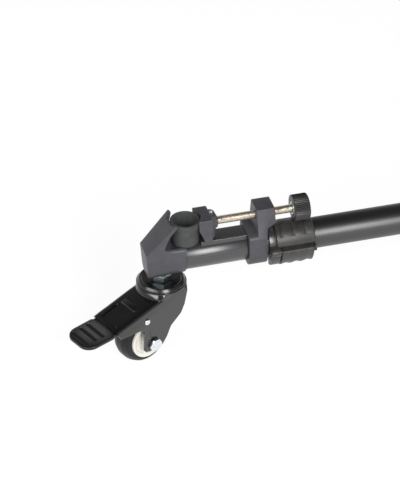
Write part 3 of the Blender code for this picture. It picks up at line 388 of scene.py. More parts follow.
def pedalNylon():  # the same nylon, black, with a painted sheen: the flats between the grooves painted lighter grey near the middle, for the light they would catch
    look = surface("mouldedNylonPaintedSheen", ("#111010", "#191818"), patch=6.0, rough=(0.26, 0.38),
                   depth=0.015, grain=(0.8, 2.0), sockets={"IOR": 1.53})
    tree = look.node_tree
    base = tree.nodes["Principled BSDF"].inputs["Base Color"]
    coords = objectCoords(tree)

    def mask(operation, value, start, end):
        measure = addNode(tree, "ShaderNodeVectorMath", {"operation": operation, 1: value}, {0: coords})
        return addNode(tree, "ShaderNodeMapRange", {"From Min": start, "From Max": end},
                       {"Value": measure.outputs["Value"]}).outputs[0]

    # painted sheen: the top faces of the flats near the pedal's middle are painted lighter grey, standing in
    # for reflected light
    flats = mask("DOT_PRODUCT", (pedalSlope, 0, 1), pedalFlat - 0.0005, pedalFlat - 0.0001)
    sheenArea = mask("DISTANCE", pedal["sheenCentre"], *pedal["sheenReach"])
    sheenMask = addNode(tree, "ShaderNodeMath", {"operation": "MULTIPLY"}, {0: flats, 1: sheenArea})
    paintedSheen = addNode(tree, "ShaderNodeMix", {"data_type": "RGBA"},
                   {0: sheenMask.outputs[0], 6: base.links[0].from_socket})
    paintedSheen.inputs[7].default_value = linear(pedal["paintedSheen"])
    tree.links.new(paintedSheen.outputs[2], base)
    return look


castLook = surface(  # die cast and powder coated: even dark grey, its shine spread by a fine orange peel
    "powderCoatedDieCastAluminium", ("#444348", "#4f4e53"), patch=9.0, rough=(0.37, 0.5), depth=0.035,
    grain=(0.7, 2.0), sockets={"IOR": 1.5})
pedalLook = pedalNylon()
nylonLook = mouldedNylon("mouldedGlassFilledNylon", "#363534", "#42413f")
knobLook = mouldedNylon("mouldedBlackNylon", "#282726", "#312f2e")
tubeLook = anodised("blackAnodisedAluminium", ("#151415", "#1d1b1c"), 0.9, (0.35, 0.43), 0.006, 1.85)  # satin
sleeveLook = anodised("glossAnodisedAluminium", ("#302e30", "#3c393c"), 0.8, (0.25, 0.32), 0.004, 1.8)  # gloss
enamelLook = stovedEnamel("electrocoatedPressedSteel", 0.4, (0.1, 0.16))
ringLook = stovedEnamel("electrocoatedTurnedSteel", 0.0, (0.2, 0.26))  # mirrors the nut only faintly
zincLook = plated("brightZincPlatedSteel", ("#dde2e6", "#f1f3f5"), 2.5, (0.18, 0.32), 0.006)  # cool white
nutLook = plated("blueChromatedZincPlatedSteel", ("#93a3a2", "#b7c4c3"), 2.5, (0.25, 0.36), 0.006)  # duller
nickelLook = plated("warmNickelPlatedSteel", ("#d3c3af", "#efe4d6"), 3.0, (0.3, 0.42), 0.005)  # pale and warm
rubberLook = surface(  # compression moulded: dull grey-green with a bloom
    "mouldedGreyRubber", ("#424543", "#4d514e"), patch=5.0, rough=(0.7, 0.86), depth=0.03, grain=(0.45, 4.0),
    sockets={"IOR": 1.5})
ivoryLook = surface(  # natural nylon, moulded: ivory and slightly see-through, so its shadows stay warm
    "mouldedNaturalNylon", ("#f6f2e7", "#fdfaf3"), patch=6.0, rough=(0.3, 0.42), depth=0.01, grain=(0.9, 2.0),
    sockets={"IOR": 1.53, "Subsurface Weight": 0.12, "Subsurface Scale": 0.002})
treadLook = surface(  # cast polyurethane: smooth black with a soft sheen and faint scuffs round the tread
    "castPolyurethane", ("#121112", "#1b1a1b"), patch=4.0, rough=(0.34, 0.5), depth=0.02, grain=(0.8, 2.0),
    sockets={"IOR": 1.42})
print("materials made")


# Tubes and the rail sleeve

tubes = {
    "innerRadius": 12.5, "innerWall": 1.5, "innerStart": 7.0, "innerEnd": 300.0,
    "outerWall": 1.2, "outerStart": 104.5, "outerEnd": 370.7, "rimEdge": 0.35,
}
boreRadius = tubes["innerRadius"] + clearance
outerRadius = boreRadius + tubes["outerWall"]
outerFit = outerRadius + clearance  # what slides over or holds the outer tube


def pipe(outer, bore, start, end, edge):
    profile = rounded([(outer, start, edge), (outer, end, edge), (bore, end, edge), (bore, start, edge)], 2)
    return turned(profile, 72, alongX)


inner = pipe(tubes["innerRadius"], tubes["innerRadius"] - tubes["innerWall"], tubes["innerStart"],
             tubes["innerEnd"], tubes["rimEdge"])
onEachArm(inner, "innerTube", tubeLook, "anodised", "carriage", "inner_tube")
outer = pipe(outerRadius, boreRadius, tubes["outerStart"], tubes["outerEnd"], tubes["rimEdge"])
onEachArm(outer, "outerTube", tubeLook, "anodised", "arm", "outer_tube")

rail = {"start": 19.9, "end": 76.4, "wall": 1.2, "halfWidth": 8.65, "foot": 9.4, "rise": 1.3, "edge": 0.7,
        "flatStart": 34.5}
sleeveRadius = boreRadius + rail["wall"]
railTop = sleeveRadius + rail["rise"]


def railSleeve():
    sleeve = turned(rounded([
        (sleeveRadius, rail["start"], 0.3), (sleeveRadius, rail["end"], 0.3),
        (boreRadius, rail["end"]), (boreRadius, rail["start"]),
    ], 2), 72, alongX)
    side = [(rail["halfWidth"], rail["foot"]), (rail["halfWidth"], railTop, rail["edge"])]
    flat = prism(rounded(mirrored(side, 0), 4), rail["flatStart"], rail["end"] - 0.05, "X")
    return join(sleeve, cut(flat, rod(boreRadius, 0, 100, 72, alongX)))


onEachArm(railSleeve(), "railSleeve", sleeveLook, "gloss_steel", "carriage", "jaw_rail")
print("tubes made")


# Foot seat: cast socket, sloping plate with two horns, caster boss

seat = {
    "start": -16.4, "end": 19.6, "wall": 2.5, "endHalfWidth": 11.5, "endDepth": 16.0, "endCorner": 5.5,
    "lean": 2.5, "shoulder": 10.9, "top": 15.0, "hornX": 10.8, "hornZ": 40.5, "cheekFoot": -0.3,
    "kneeX": 4.3, "kneeZ": 28.0, "plate": 3.4, "notchHalf": 7.8, "notchSpread": 7.5, "notchDepth": 3.6,
    "edge": 1.6, "socketRound": 4.0,
    "nutFlats": 17.0, "nutHeight": 7.9, "stemRadius": 5.0, "stemLength": 23.0,
}
cup = {"x": 21.9, "height": 22.5, "base": 12.3, "rim": 13.6, "rimHeight": 6.0, "wall": 2.6, "floor": 4.0}
cupBase = sleeveRadius + clearance
cupPlace = Matrix.Translation((cup["x"], 0, cupBase))
seatRadius = boreRadius + seat["wall"]


def cupOutside(margin):
    step = cup["height"] - cup["rimHeight"]
    return [
        (cup["base"] + margin, -margin), (cup["base"] + margin, step - margin),
        (cup["rim"] + margin, step + 0.8 - margin), (cup["rim"] + margin, cup["height"] + margin),
    ]


def cupSpace(bottom):  # room for the cup
    profile = [(0, bottom)] + cupOutside(clearance) + [(cup["rim"] + clearance, 40), (0, 40)]
    return turned(profile, 64, cupPlace)


def channelSection(halfWidth, top, bottom, corner, x):
    low = arc((halfWidth - corner, bottom + corner), corner, 0, -90, 12)
    return [(x, y, z) for y, z in mirrored([(halfWidth, top)] + low, 0)]


def socketShoulder(side, x, radius):  # what a round on the socket's upper edge takes away
    share = (x - seat["start"] + 4) / (seat["end"] - seat["start"] + 8)
    half = seat["endHalfWidth"] + (seatRadius - seat["endHalfWidth"]) * share
    foot, top = seat["top"] - radius, seat["top"] + 0.6
    curve = arc((half - radius, foot), radius, 0, 90, 8)
    return [(x, side * y, z) for y, z in [(half + 3, foot)] + curve + [(half - radius, top), (half + 3, top)]]


def footSeat():
    side = rounded([
        (seat["start"] + seat["lean"], -seatRadius - 2), (seat["start"], seat["shoulder"], 1.5),
        (seat["hornX"] - 1.0, seat["hornZ"], 1.2), (seat["hornX"] + 1.2, seat["hornZ"] - 1.6, 0.8),
        (seat["kneeX"], seat["kneeZ"], 3.0), (seat["cheekFoot"], seat["top"] + 0.8, 1.0),
        (seat["cheekFoot"] + 4, seat["top"]), (seat["end"], seat["top"]), (seat["end"], -seatRadius - 2),
    ], 5)
    body = prism(side, -30, 30)
    low, high = boreRadius + 0.5, seat["hornZ"] + 10
    channel = loft([
        channelSection(seat["endHalfWidth"], high, -seat["endDepth"], seat["endCorner"], seat["start"] - 4),
        channelSection(seatRadius, high, -seatRadius, seatRadius - 0.5, seat["end"] + 4),
    ])
    combine(body, [channel], "INTERSECT")
    soften(body, seat["edge"], 4, 50)
    slope = (seat["hornX"] - seat["start"]) / (seat["hornZ"] - seat["shoulder"])
    lean = seat["start"] - slope * seat["shoulder"] + seat["plate"] / math.cos(math.atan(slope))
    inside = seat["endHalfWidth"] - 0.2
    past = seat["end"] + 20
    trough = prism([(lean + slope * low, low), (lean + slope * high, high), (past, high), (past, low)],
                   -inside, inside)
    soften(trough, 1.0)
    notchLow = seat["hornZ"] - seat["notchDepth"]
    notchTop = notchLow + seat["notchDepth"] * 1.5
    spread = seat["notchHalf"] + seat["notchSpread"]
    notch = rounded(mirrored([(seat["notchHalf"], notchLow, 2), (spread, notchTop)], 0), 5)
    notch = prism(notch, seat["start"], seat["end"], "X")
    shoulders = [loft([socketShoulder(side, x, radius) for x, radius in (
        (1.6, 0.4), (3.0, 2.2), (5.5, seat["socketRound"]), (seat["end"] + 3, seat["socketRound"]),
    )]) for side in (1, -1)]
    boreStart = Matrix.Translation((tubes["innerStart"] - clearance, 0, 0))
    bore = rod(boreRadius, 0, 60, 72, boreStart @ alongX)
    spot = rod(seat["nutFlats"] / math.sqrt(3) + 2.2, -40, ringTop + seat["nutHeight"] + clearance, 64)
    hole = rod(seat["stemRadius"] + clearance, -40, ringTop + seat["stemLength"] + clearance)
    return soften(cut(body, trough, notch, *shoulders, cupSpace(-clearance), bore, spot, hole), 0.22, 2, 38)


onEachArm(footSeat(), "footSeat", castLook, "cast", "carriage", "foot_seat")


def footCup():  # rubber cup with a rolled rim
    step = cup["height"] - cup["rimHeight"]
    bore = cup["rim"] - cup["wall"]
    profile = [(0, 0)] + rounded([
        (0, 0), (cup["base"], 0, 0.8), (cup["base"], step, 0.4), (cup["rim"], step + 0.8, 0.4),
        (cup["rim"], cup["height"], 1.1), (bore, cup["height"], 1.0),
        (cup["base"] - cup["wall"] + 0.6, cup["floor"], 1.6), (0, cup["floor"]),
    ], 5)[1:]
    return turned(profile, 72, cupPlace)


onEachArm(footCup(), "footCup", rubberLook, "rubber", "carriage", "foot_cup")
print("foot seat made")


# Screw clamp: jaw, screw, bracket with its post, and the knob

clamp = {
    "jawHalf": 12.0, "lipX": 31.3, "footX": 36.5, "backX": 44.4, "backCorner": 1.2, "ribX": 49.3,
    "ribHalf": 6.9, "boss": 1.2, "bossRadius": 6.4,
    "jawHeight": 24.0, "collarStart": 76.7, "collarLength": 16.8, "collarWall": 3.4, "crown": 1.5,
    "topCorner": 5.0, "lowCorner": 9.5,
    "postStart": 84.8, "postLength": 16.9, "postHalf": 9.4, "overScrew": 10.1, "undercut": 4.4,
    "screwRadius": 3.8, "screwTip": 41.0, "pitch": 1.25, "threadDepth": 0.4,
    "setScrewX": 46.0, "setScrewY": 1.5, "setScrewRadius": 2.1,
}
screwTurn = Matrix.Translation((0, 0, screwAt.z)) @ alongX
collarEnd = clamp["collarStart"] + clamp["collarLength"]
jawFoot = railTop + clearance
jawTop = jawFoot + clamp["jawHeight"]


def screwHole(start, end):
    return rod(clamp["screwRadius"] + clearance, start, end, 32, screwTurn)


def clampJaw():
    lip, back, half = clamp["lipX"], clamp["backX"], clamp["jawHalf"]
    block = prism([
        (clamp["footX"], jawFoot), (clamp["footX"], jawFoot + 3.5), (lip + 0.7, screwAt.z - 1.4),
        (lip, jawTop), (back + 10, jawTop), (back + 10, jawFoot),
    ], -half - 10, half + 10)
    plan = rounded(mirrored([(lip - 10, -half), (back, -half, clamp["backCorner"])]), 8)
    combine(block, [prism(plan, jawFoot - 10, jawTop + 10, "Z")], "INTERSECT")
    soften(block, 0.9)
    rib = rounded(mirrored([(back - 4, -clamp["ribHalf"]), (clamp["ribX"], -clamp["ribHalf"], 4.5)]), 8)
    rib = soften(prism(rib, jawFoot, jawTop - 0.4, "Z"), 1.1, 4, 50)
    bossEnd = clamp["ribX"] + clamp["boss"]
    boss = turned(rounded([
        (0, back), (clamp["bossRadius"], back), (clamp["bossRadius"], bossEnd, 0.8), (0, bossEnd),
    ], 4), 48, screwTurn)
    seatFor = rod(clamp["setScrewRadius"] + 0.25, jawTop - 1.6, jawTop + 5, 32,
                  Matrix.Translation((clamp["setScrewX"], clamp["setScrewY"], 0)))
    hole = screwHole(clamp["screwTip"] - clearance, bossEnd + 10)
    return soften(cut(join(block, rib, boss), cupSpace(-1), seatFor, hole), 0.2, 2, 38)


def setScrew():  # small socket screw that keeps the jaw on the clamp screw
    radius = clamp["setScrewRadius"]
    head = turned(rounded([
        (0, -1.0), (radius, -1.0), (radius, 0.55, 0.35), (0, 0.55),
    ], 3), 32)
    socket = prism(arc((0, 0), 1.05, 0, 300, 5), -0.7, 2, "Z")
    piece = cut(head, socket)
    piece.data.transform(Matrix.Translation((clamp["setScrewX"], clamp["setScrewY"], jawTop - 0.4)))
    return piece


def clampBracket():
    half = boreRadius + clamp["collarWall"]
    top = railTop + clamp["crown"]
    collar = rounded(mirrored([(half, top, clamp["topCorner"]), (half, -half, clamp["lowCorner"])], 0), 12)
    collar = soften(prism(collar, clamp["collarStart"], collarEnd, "X"), 0.6)
    postEnd = clamp["postStart"] + clamp["postLength"]
    postTop = screwAt.z + clamp["overScrew"]
    foot = top - clamp["topCorner"]
    post = prism(rounded([
        (clamp["postStart"], foot), (clamp["postStart"], postTop, 1.0), (postEnd, postTop, 1.0),
        (postEnd, screwAt.z - clamp["undercut"], 0.8),
        (collarEnd + 0.6, screwAt.z - clamp["undercut"] - 4, 1.5), (collarEnd - 0.3, foot),
    ], 4), -clamp["postHalf"], clamp["postHalf"])
    soften(post, 0.6)
    for vert in post.data.vertices:  # its sides run out straight into the collar's
        vert.co.y *= 1 + ((half - 0.1) / clamp["postHalf"] - 1) * (postTop - vert.co.z) / (postTop - foot)
    hole = screwHole(clamp["postStart"] - 10, postEnd + 10)
    return soften(cut(join(collar, post), rod(boreRadius, 60, 110, 72, alongX), hole), 0.2, 2, 38)


knob = {"start": 120.2, "length": 14.4, "radius": 12.0, "flutes": 44, "fluteDepth": 0.45, "edge": 1.5,
        "faceRadius": 6.9, "faceDepth": 1.0}


def clampKnob():  # straight-knurled grip with a rounded outer edge
    perFlute = 4
    steps = knob["flutes"] * perFlute
    end = knob["start"] + knob["length"]
    stations = rounded([
        (knob["start"], 0), (knob["start"], knob["radius"], 0.7), (end, knob["radius"], knob["edge"]), (end, 0),
    ], 5)[1:-1]
    rings = []
    for x, radius in stations:
        deep = knob["fluteDepth"] if radius > knob["radius"] - 0.8 else knob["fluteDepth"] * 0.4
        ring = []
        for i in range(steps):
            turn = math.tau * i / steps
            reach = radius - deep * (0.5 - 0.5 * math.cos(math.tau * i / perFlute))
            ring.append((x, reach * math.sin(turn), screwAt.z + reach * math.cos(turn)))
        rings.append(ring)
    dish = rod(knob["faceRadius"], knob["start"] - 5, knob["start"] + knob["faceDepth"], 64, screwTurn)
    back = turned([
        (0, end - 0.9), (knob["radius"] - 4.2, end - 0.9), (knob["radius"] - 3.6, end + 3), (0, end + 3),
    ], 64, screwTurn)
    return cut(loft(rings), dish, back, screwHole(knob["start"] - 10, end - 3 + clearance))


def knobFace():  # stamped washer pressed into the knob, with a raised collar round the screw
    start, rim = knob["start"], knob["faceRadius"] - 0.15
    bore = clamp["screwRadius"] + 0.1
    return turned(rounded([
        (rim, start + 0.25, 0.3), (rim, start + 0.95), (bore, start + 0.95), (bore, start - 0.6, 0.3),
        (bore + 1.9, start - 0.6, 0.4), (bore + 2.3, start + 0.25, 0.3),
    ], 3), 64, screwTurn)


screw = screwThread(clamp["screwRadius"], clamp["pitch"], clamp["threadDepth"], clamp["screwTip"],
                    knob["start"] + knob["length"] - 3, screwTurn)
onEachArm(clampJaw(), "clampJaw", castLook, "cast", "jaw", "clamp_jaw")
onEachArm(setScrew(), "jawSetScrew", zincLook, "zinc", "jaw")
onEachArm(clampBracket(), "clampBracket", castLook, "cast", "carriage", "clamp_bracket")
onEachArm(screw, "clampScrew", nickelLook, "nickel", "screw", "clamp_screw", sharp=60)
onEachArm(clampKnob(), "clampKnob", knobLook, "moulded", "screw", "clamp_knob", sharp=50)
onEachArm(knobFace(), "knobFace", nutLook, "zinc", "screw")
print("screw clamp made")


# Telescope lock: split collar with grooves, and the cam lever on its pin

lock = {
    "start": 95.5, "collarLength": 6.0, "groove": 0.9, "end": 138.0, "wall": 2.7, "collarWall": 2.9,
    "edge": 1.4, "seam": 1.2, "lip": 0.4,
    "grooves": 3, "groovePitch": 11.0, "grooveWidth": 3.0, "grooveDepth": 1.1, "grooveArc": (48, 142),
    "leverStart": 104.5, "leverLength": 30.3, "leverRadius": 23.2, "leverLip": 12.5, "leverGap": 0.7,
    "tail": 78, "pinRadius": 1.2, "camRadius": 3.6, "scallops": 3, "scallopDepth": 2.0, "endRounding": 0.35,
    "earRadius": 3.4, "cheekRadius": 22.4, "cheekTail": 250,
}
lockRadius = outerFit + lock["wall"]
collarRadius = boreRadius + lock["collarWall"]
seamRadius = collarRadius - lock["seam"]
lipEnd = lock["start"] + lock["lip"]
barrelStart = lock["start"] + lock["collarLength"] + lock["groove"]
leverEnd = lock["leverStart"] + lock["leverLength"]
pinTurn = Matrix.Translation((0, leverPin.y, leverPin.z)) @ alongX


def legLock():
    end, step = lock["end"], tubes["outerStart"] - clearance
    barrel = turned(rounded([
        (seamRadius, lipEnd), (seamRadius, barrelStart), (lockRadius, barrelStart, 0.5),
        (lockRadius, end, lock["edge"]), (outerFit, end), (outerFit, step), (boreRadius, step),
        (boreRadius, lipEnd),
    ], 4), 84, alongX)
    extras, grooves = [], []
    first = (barrelStart + lock["end"] - (lock["grooves"] - 1) * lock["groovePitch"]) / 2 - 1.5
    low, high = lock["grooveArc"]
    for i in range(lock["grooves"]):  # finger grooves with sloping walls
        x, wide = first + i * lock["groovePitch"], lock["grooveWidth"] / 2
        rings = []
        for offset, depth, ease in ((-wide, -0.1, 2), (-0.45 * wide, lock["grooveDepth"], 0),
                                    (0.05 * wide, lock["grooveDepth"], 0), (wide, -0.1, 2)):
            outline = arc((0, 0), lockRadius + 2, low - ease, high + ease, 24)
            outline += arc((0, 0), lockRadius - depth, high + ease, low - ease, 24)
            rings.append([(x + offset, y, z) for y, z in outline])
        grooves.append(loft(rings))
    root = -(outerFit + 0.6)
    front = lock["leverStart"] - clearance
    for start, end in ((lock["start"], front), (leverEnd + clearance, lock["end"] - 1.2)):
        outline = arc((leverPin.y, leverPin.z), lock["earRadius"], 90, 270, 14)
        outline += [(root, leverPin.z - lock["earRadius"] - 1), (root, leverPin.z + lock["earRadius"])]
        extras.append(soften(prism(outline, start, end, "X"), 0.5))
    cheek = arc((0, 0), lock["cheekRadius"], 178, lock["cheekTail"], 20)
    cheek += arc((0, 0), lockRadius - 1, lock["cheekTail"], 178, 20)
    extras.append(soften(prism(cheek, lock["start"] + 1, front, "X"), 0.8, 4, 50))
    hole = rod(lock["pinRadius"] + clearance, 80, 150, 24, pinTurn)
    slot = prism([(-1, -30), (1, -30), (1, 0), (-1, 0)], lock["start"] - 10, barrelStart + 6, "X")
    return soften(cut(join(barrel, *extras), hole, slot, *grooves), 0.15, 2, 40)


def lockCollar():  # polished ring at the mouth of the lock
    start, end = lock["start"], lock["start"] + lock["collarLength"]
    return turned(rounded([
        (collarRadius, start, 0.7), (collarRadius, end, 0.5), (seamRadius, end), (seamRadius, lipEnd),
        (boreRadius, lipEnd), (boreRadius, start),
    ], 4), 84, alongX)


def scalloped(point, dip, tail):  # pressed in, more towards the lever's tail
    y, z = point
    angle = math.degrees(math.atan2(z, y)) % 360
    reach = math.hypot(y, z)
    factor = (reach - dip * max(0.0, (angle - 180) / (tail - 180)) ** 2) / reach
    return (y * factor, z * factor)


def lockLever():  # wraps the lock from its pin to the underside, with finger scallops along its tail
    innerRadius = lockRadius + 0.6
    pinAngle = 180 + math.degrees(math.atan2(-leverPin.z, -leverPin.y))
    rings = []
    stations = 16 * lock["scallops"]
    endFillet = 0.9
    start = lock["leverStart"] + lock["leverGap"]
    for k in range(stations + 1):
        along = k / stations
        x = start + (lock["leverLength"] - lock["leverGap"]) * along
        dip = lock["scallopDepth"] * (1 - math.cos(math.tau * lock["scallops"] * along)) / 2
        past = max(0.0, along - 1 + lock["endRounding"]) / lock["endRounding"]
        tail = 180 + lock["tail"] * (0.45 + 0.55 * math.sqrt(1 - 0.98 * past ** 2))
        nearEnd = min(x - start, leverEnd - x)
        ease = endFillet - math.sqrt(max(0.0, endFillet ** 2 - max(0.0, endFillet - nearEnd) ** 2))
        outer = arc((0, 0), lock["leverRadius"] - ease, pinAngle + lock["leverLip"], tail - 7, 18)
        outer = [scalloped(point, dip, tail) for point in outer]
        tip = arc((0, 0), innerRadius + 3.6 - ease, tail - 2.5, tail, 1)
        tip = [scalloped(point, dip * 0.7, tail) for point in tip]
        tip += [scalloped(arc((0, 0), innerRadius + 1.4, tail, tail, 1)[0], dip * 0.4, tail)]
        innerSide = arc((0, 0), innerRadius, tail - 1.7, 204, 18)
        camSide = arc((leverPin.y, leverPin.z), lock["camRadius"] - ease * 0.6, -35, 35, 6)
        camSide += arc((leverPin.y, leverPin.z), lock["camRadius"] - ease * 0.6, 145, 160, 2)
        rings.append([(x, y, z) for y, z in outer + tip + innerSide + camSide])
    return loft(rings)


def leverPinRod():
    start, end, radius = lipEnd, lock["end"] - 1.2 - 0.4, lock["pinRadius"]
    profile = rounded([(0, start), (radius, start, 0.3), (radius, end, 0.3), (0, end)], 3)
    return turned(profile, 24, pinTurn)


onEachArm(legLock(), "legLock", nylonLook, "moulded", "arm", "leg_lock")
onEachArm(lockCollar(), "lockCollar", sleeveLook, "moulded", "arm")
onEachArm(lockLever(), "lockLever", nylonLook, "moulded", "lever", "lock_lever", sharp=40)
onEachArm(leverPinRod(), "leverPin", enamelLook, "gloss_steel", "lever")
print("telescope lock made")


# Knuckle at the hub end of the arm

knuckle = {"start": 350.0, "wall": 2.7, "setback": 14.5, "tongueHalf": 8.0, "tongueRadius": 11.0,
           "pinRadius": 3.0}
knuckleEnd = hingeAt.x - knuckle["setback"]
knuckleRadius = outerFit + knuckle["wall"]


def armKnuckle():
    socket = turned(rounded([
        (0, knuckle["start"] + 4), (knuckleRadius - 4, knuckle["start"] + 4),
        (knuckleRadius, knuckle["start"], 1.0), (knuckleRadius, knuckleEnd, 3.0), (0, knuckleEnd),
    ], 5), 72, alongX)
    outline = arc((hingeAt.x, 0), knuckle["tongueRadius"], -90, 90, 24)
    outline += [(knuckleEnd - 2, knuckle["tongueRadius"]), (knuckleEnd - 2, -knuckle["tongueRadius"])]
    tongue = soften(prism(outline, -knuckle["tongueHalf"], knuckle["tongueHalf"]), 0.6)
    bore = rod(outerFit, 330, tubes["outerEnd"] + clearance, 72, alongX)
    hinge = Matrix.Translation((hingeAt.x, 0, 0)) @ alongY
    eye = rod(knuckle["pinRadius"] + clearance, -20, 20, 32, hinge)
    return soften(cut(join(socket, tongue), bore, eye), 0.3, 2, 38)


onEachArm(armKnuckle(), "armKnuckle", castLook, "cast", "arm", "arm_knuckle")
print("knuckle made")


# Caster, in its own frame

caster = {
    "ringRadius": 22.5, "ringThickness": 3.6, "kingpinHead": 2.5, "kingpinRadius": 8.0,
    "forkHalf": 18.3, "wall": 1.6, "edge": 4.5, "shoulderTop": 20.0, "shoulder": 23.2, "shoulderDrop": 8.5,
    "pocketHalf": 10.5, "pocketDepth": 1.0, "pocketStart": 38.2, "pocketEnd": 59.0, "ridge": 0.6, "hem": 1.1,
    "legOutboard": 33.0, "legBottom": 58.0,
    "axleRadius": 4.0, "boltFlats": 11.6, "boltHead": 3.0, "rivetRadius": 1.8, "rivetHead": 2.9,
}
hoodTop = ((14.0, 8.3), (24.0, 10.8), (34.0, 13.8), (47.0, 17.7), (56.0, 20.2))
hoodEnd, hoodLip = (63.5, 22.6), (58.5, 31.0)
legBack = ((12.5, 56.0), (8.0, 50.0), (3.5, 40.5), (-2.0, 36.0), (-8.0, 31.0), (-12.0, 23.0), (-15.0, 10.0))
forkTop = caster["ringThickness"] + clearance
forkRoof = forkTop + 2 * caster["wall"] + 3.3
forkInner = caster["forkHalf"] - caster["wall"]
axlePlace = Matrix.Translation(wheelAt) @ alongY
rivetPlace = Matrix.Translation(pedalAt) @ alongY


def hoodDrop(x):
    points = hoodTop + (hoodEnd,)
    for (x0, drop0), (x1, drop1) in zip(points, points[1:]):
        if x0 <= x <= x1:
            return drop0 + (drop1 - drop0) * (x - x0) / (x1 - x0)
    return points[0][1]


def roofEdge(one, two):  # where the roof turns down into the sides
    level = min(one.z, two.z) > -hoodEnd[1] - 0.1 and abs(one.z - two.z) < abs(one.x - two.x)
    return level and abs(one.y - two.y) < 1e-4


def casterFork():
    outline = [(-15.6, -forkTop - 1.5), (4.0, -forkTop - 1.5)]
    outline += [(x, -drop) for x, drop in hoodTop]
    outline += [(hoodEnd[0], -hoodEnd[1]), (hoodLip[0], -hoodLip[1])]
    outline += rounded([
        (hoodLip[0] - 2, -hoodLip[1]), (caster["legOutboard"], -hoodLip[1] - 0.5, 3),
        (caster["legOutboard"], -caster["legBottom"], 4), (legBack[0][0] + 3, -caster["legBottom"]),
    ], 6)[1:]
    outline += [(x, -drop) for x, drop in legBack]
    fork = prism(outline, -caster["forkHalf"], caster["forkHalf"])
    roundEdges(fork, caster["edge"], roofEdge)
    shoulder = turned(rounded([
        (0, -forkTop), (caster["shoulderTop"], -forkTop, 0.4),
        (caster["shoulder"], -caster["shoulderDrop"], 0.7),
        (caster["shoulder"] - 1.5, -forkRoof + 0.4), (0, -forkRoof + 0.4),
    ], 5), 96)
    width = caster["forkHalf"] - 0.03
    slab = prism([(-30, 0), (30, 0), (30, -30), (-30, -30)], -width, width)
    combine(shoulder, [slab], "INTERSECT")
    soften(shoulder, 0.6, 3, 55)
    first, last, half = caster["pocketStart"], caster["pocketEnd"], caster["pocketHalf"]
    steps = [first + (last - first) * k / 6 for k in range(7)]
    floor = [(x, -hoodDrop(x) - caster["pocketDepth"]) for x in steps]
    pocket = prism(floor + [(last, 0), (first, 0)], -18, 18)
    plan = prism(rounded([(first, -half, 4), (last, -half, 1.5), (last, half, 1.5), (first, half, 6)], 8),
                 -40, 10, "Z")
    combine(pocket, [plan], "INTERSECT")
    ridge = prism([
        (first - 6.0, -hoodDrop(first - 6) - 1), (first - 5.2, -hoodDrop(first - 5.2) + 0.7 * caster["ridge"]),
        (first - 0.6, -hoodDrop(first - 0.6) + caster["ridge"]), (first + 0.5, -hoodDrop(first + 0.5) - 1),
    ], -half + 0.8, half - 0.8)
    soften(ridge, 0.4, 3, 30)
    hem = rounded(mirrored([(0, -forkInner), (caster["hem"], -forkInner, 0.5)]), 3)
    hem = turned(hem, 32, Matrix.Translation((hoodEnd[0] - 0.5, 0, -hoodEnd[1] - 0.7)) @ alongY)
    inside = [(-13.0, -forkRoof), (14.0, -forkRoof)]
    inside += [(x - 0.3, -drop - caster["wall"]) for x, drop in hoodTop if drop + caster["wall"] > forkRoof]
    slope = (hoodEnd[1] - hoodTop[-1][1]) / (hoodEnd[0] - hoodTop[-1][0])
    far = hoodEnd[0] + 10
    inside += [(far, -hoodEnd[1] - caster["wall"] - slope * (far - hoodEnd[0]))]
    inside += [(far, -90), (-30, -90), (-30, -20)]
    cavity = prism(inside, -forkInner, forkInner)
    axleHole = rod(caster["axleRadius"] + clearance, -30, 30, 32, axlePlace)
    rivetHole = rod(caster["rivetRadius"] + clearance, -30, 30, 24, rivetPlace)
    pinHole = rod(seat["stemRadius"] + clearance, -30, 10)
    cut(join(fork, shoulder, ridge), cavity, axleHole, rivetHole, pinHole, pocket)
    return join(soften(fork, 0.35, 3, 38), hem)


def swivelRing():  # ring with a raised lip and a beaded rim, on the kingpin and stem
    ring, thick = caster["ringRadius"], caster["ringThickness"]
    stem, stemEnd = seat["stemRadius"], seat["stemLength"]
    head, foot = -forkRoof - clearance, -forkRoof - clearance - caster["kingpinHead"]
    return turned(rounded([
        (0, stemEnd), (stem, stemEnd, 0.8), (stem, 0.0), (ring - 5.4, 0.0, 0.8), (ring - 4.0, 1.1, 0.5),
        (ring - 2.9, 1.2, 0.6), (ring - 1.2, -1.0, 0.5), (ring - 0.8, -2.0, 0.3), (ring, -2.3, 0.4),
        (ring, -thick, 0.6), (stem, -thick), (stem, head), (caster["kingpinRadius"], head),
        (caster["kingpinRadius"], foot, 1.4), (0, foot),
    ], 5), 84)


def stemNut():
    nut = hexagon(seat["nutFlats"], 0.05, seat["nutHeight"], 0.9)
    nut.data.transform(Matrix.Rotation(math.radians(4.5), 4, "Z"))
    return soften(cut(nut, rod(seat["stemRadius"] + 0.05, -5, 20)), 0.25, 2, 30)


wheel = {"radius": 25.0, "tyreHalf": 11.6, "tyreNear": 9.0, "shoulderDrop": 3.4, "nearDrop": 4.6,
         "coreRadius": 17.7, "coreHalf": 10.6, "bossRadius": 7.0, "recess": 1.5}


def tyre():
    half, near, crown = wheel["tyreHalf"], wheel["tyreNear"], wheel["radius"]
    bore = wheel["coreRadius"] + clearance
    return turned(rounded([
        (bore, near, 0.4), (bore, -half, 0.4), (crown - wheel["shoulderDrop"], -half, 1.2),
        (crown - 1.6, -half + 1.9, 2.2), (crown, -5.0, 6.0), (crown, 2.0, 6.0), (crown - 2.2, near - 1.9, 2.2),
        (crown - wheel["nearDrop"], near, 1.2),
    ], 6), 96, axlePlace)


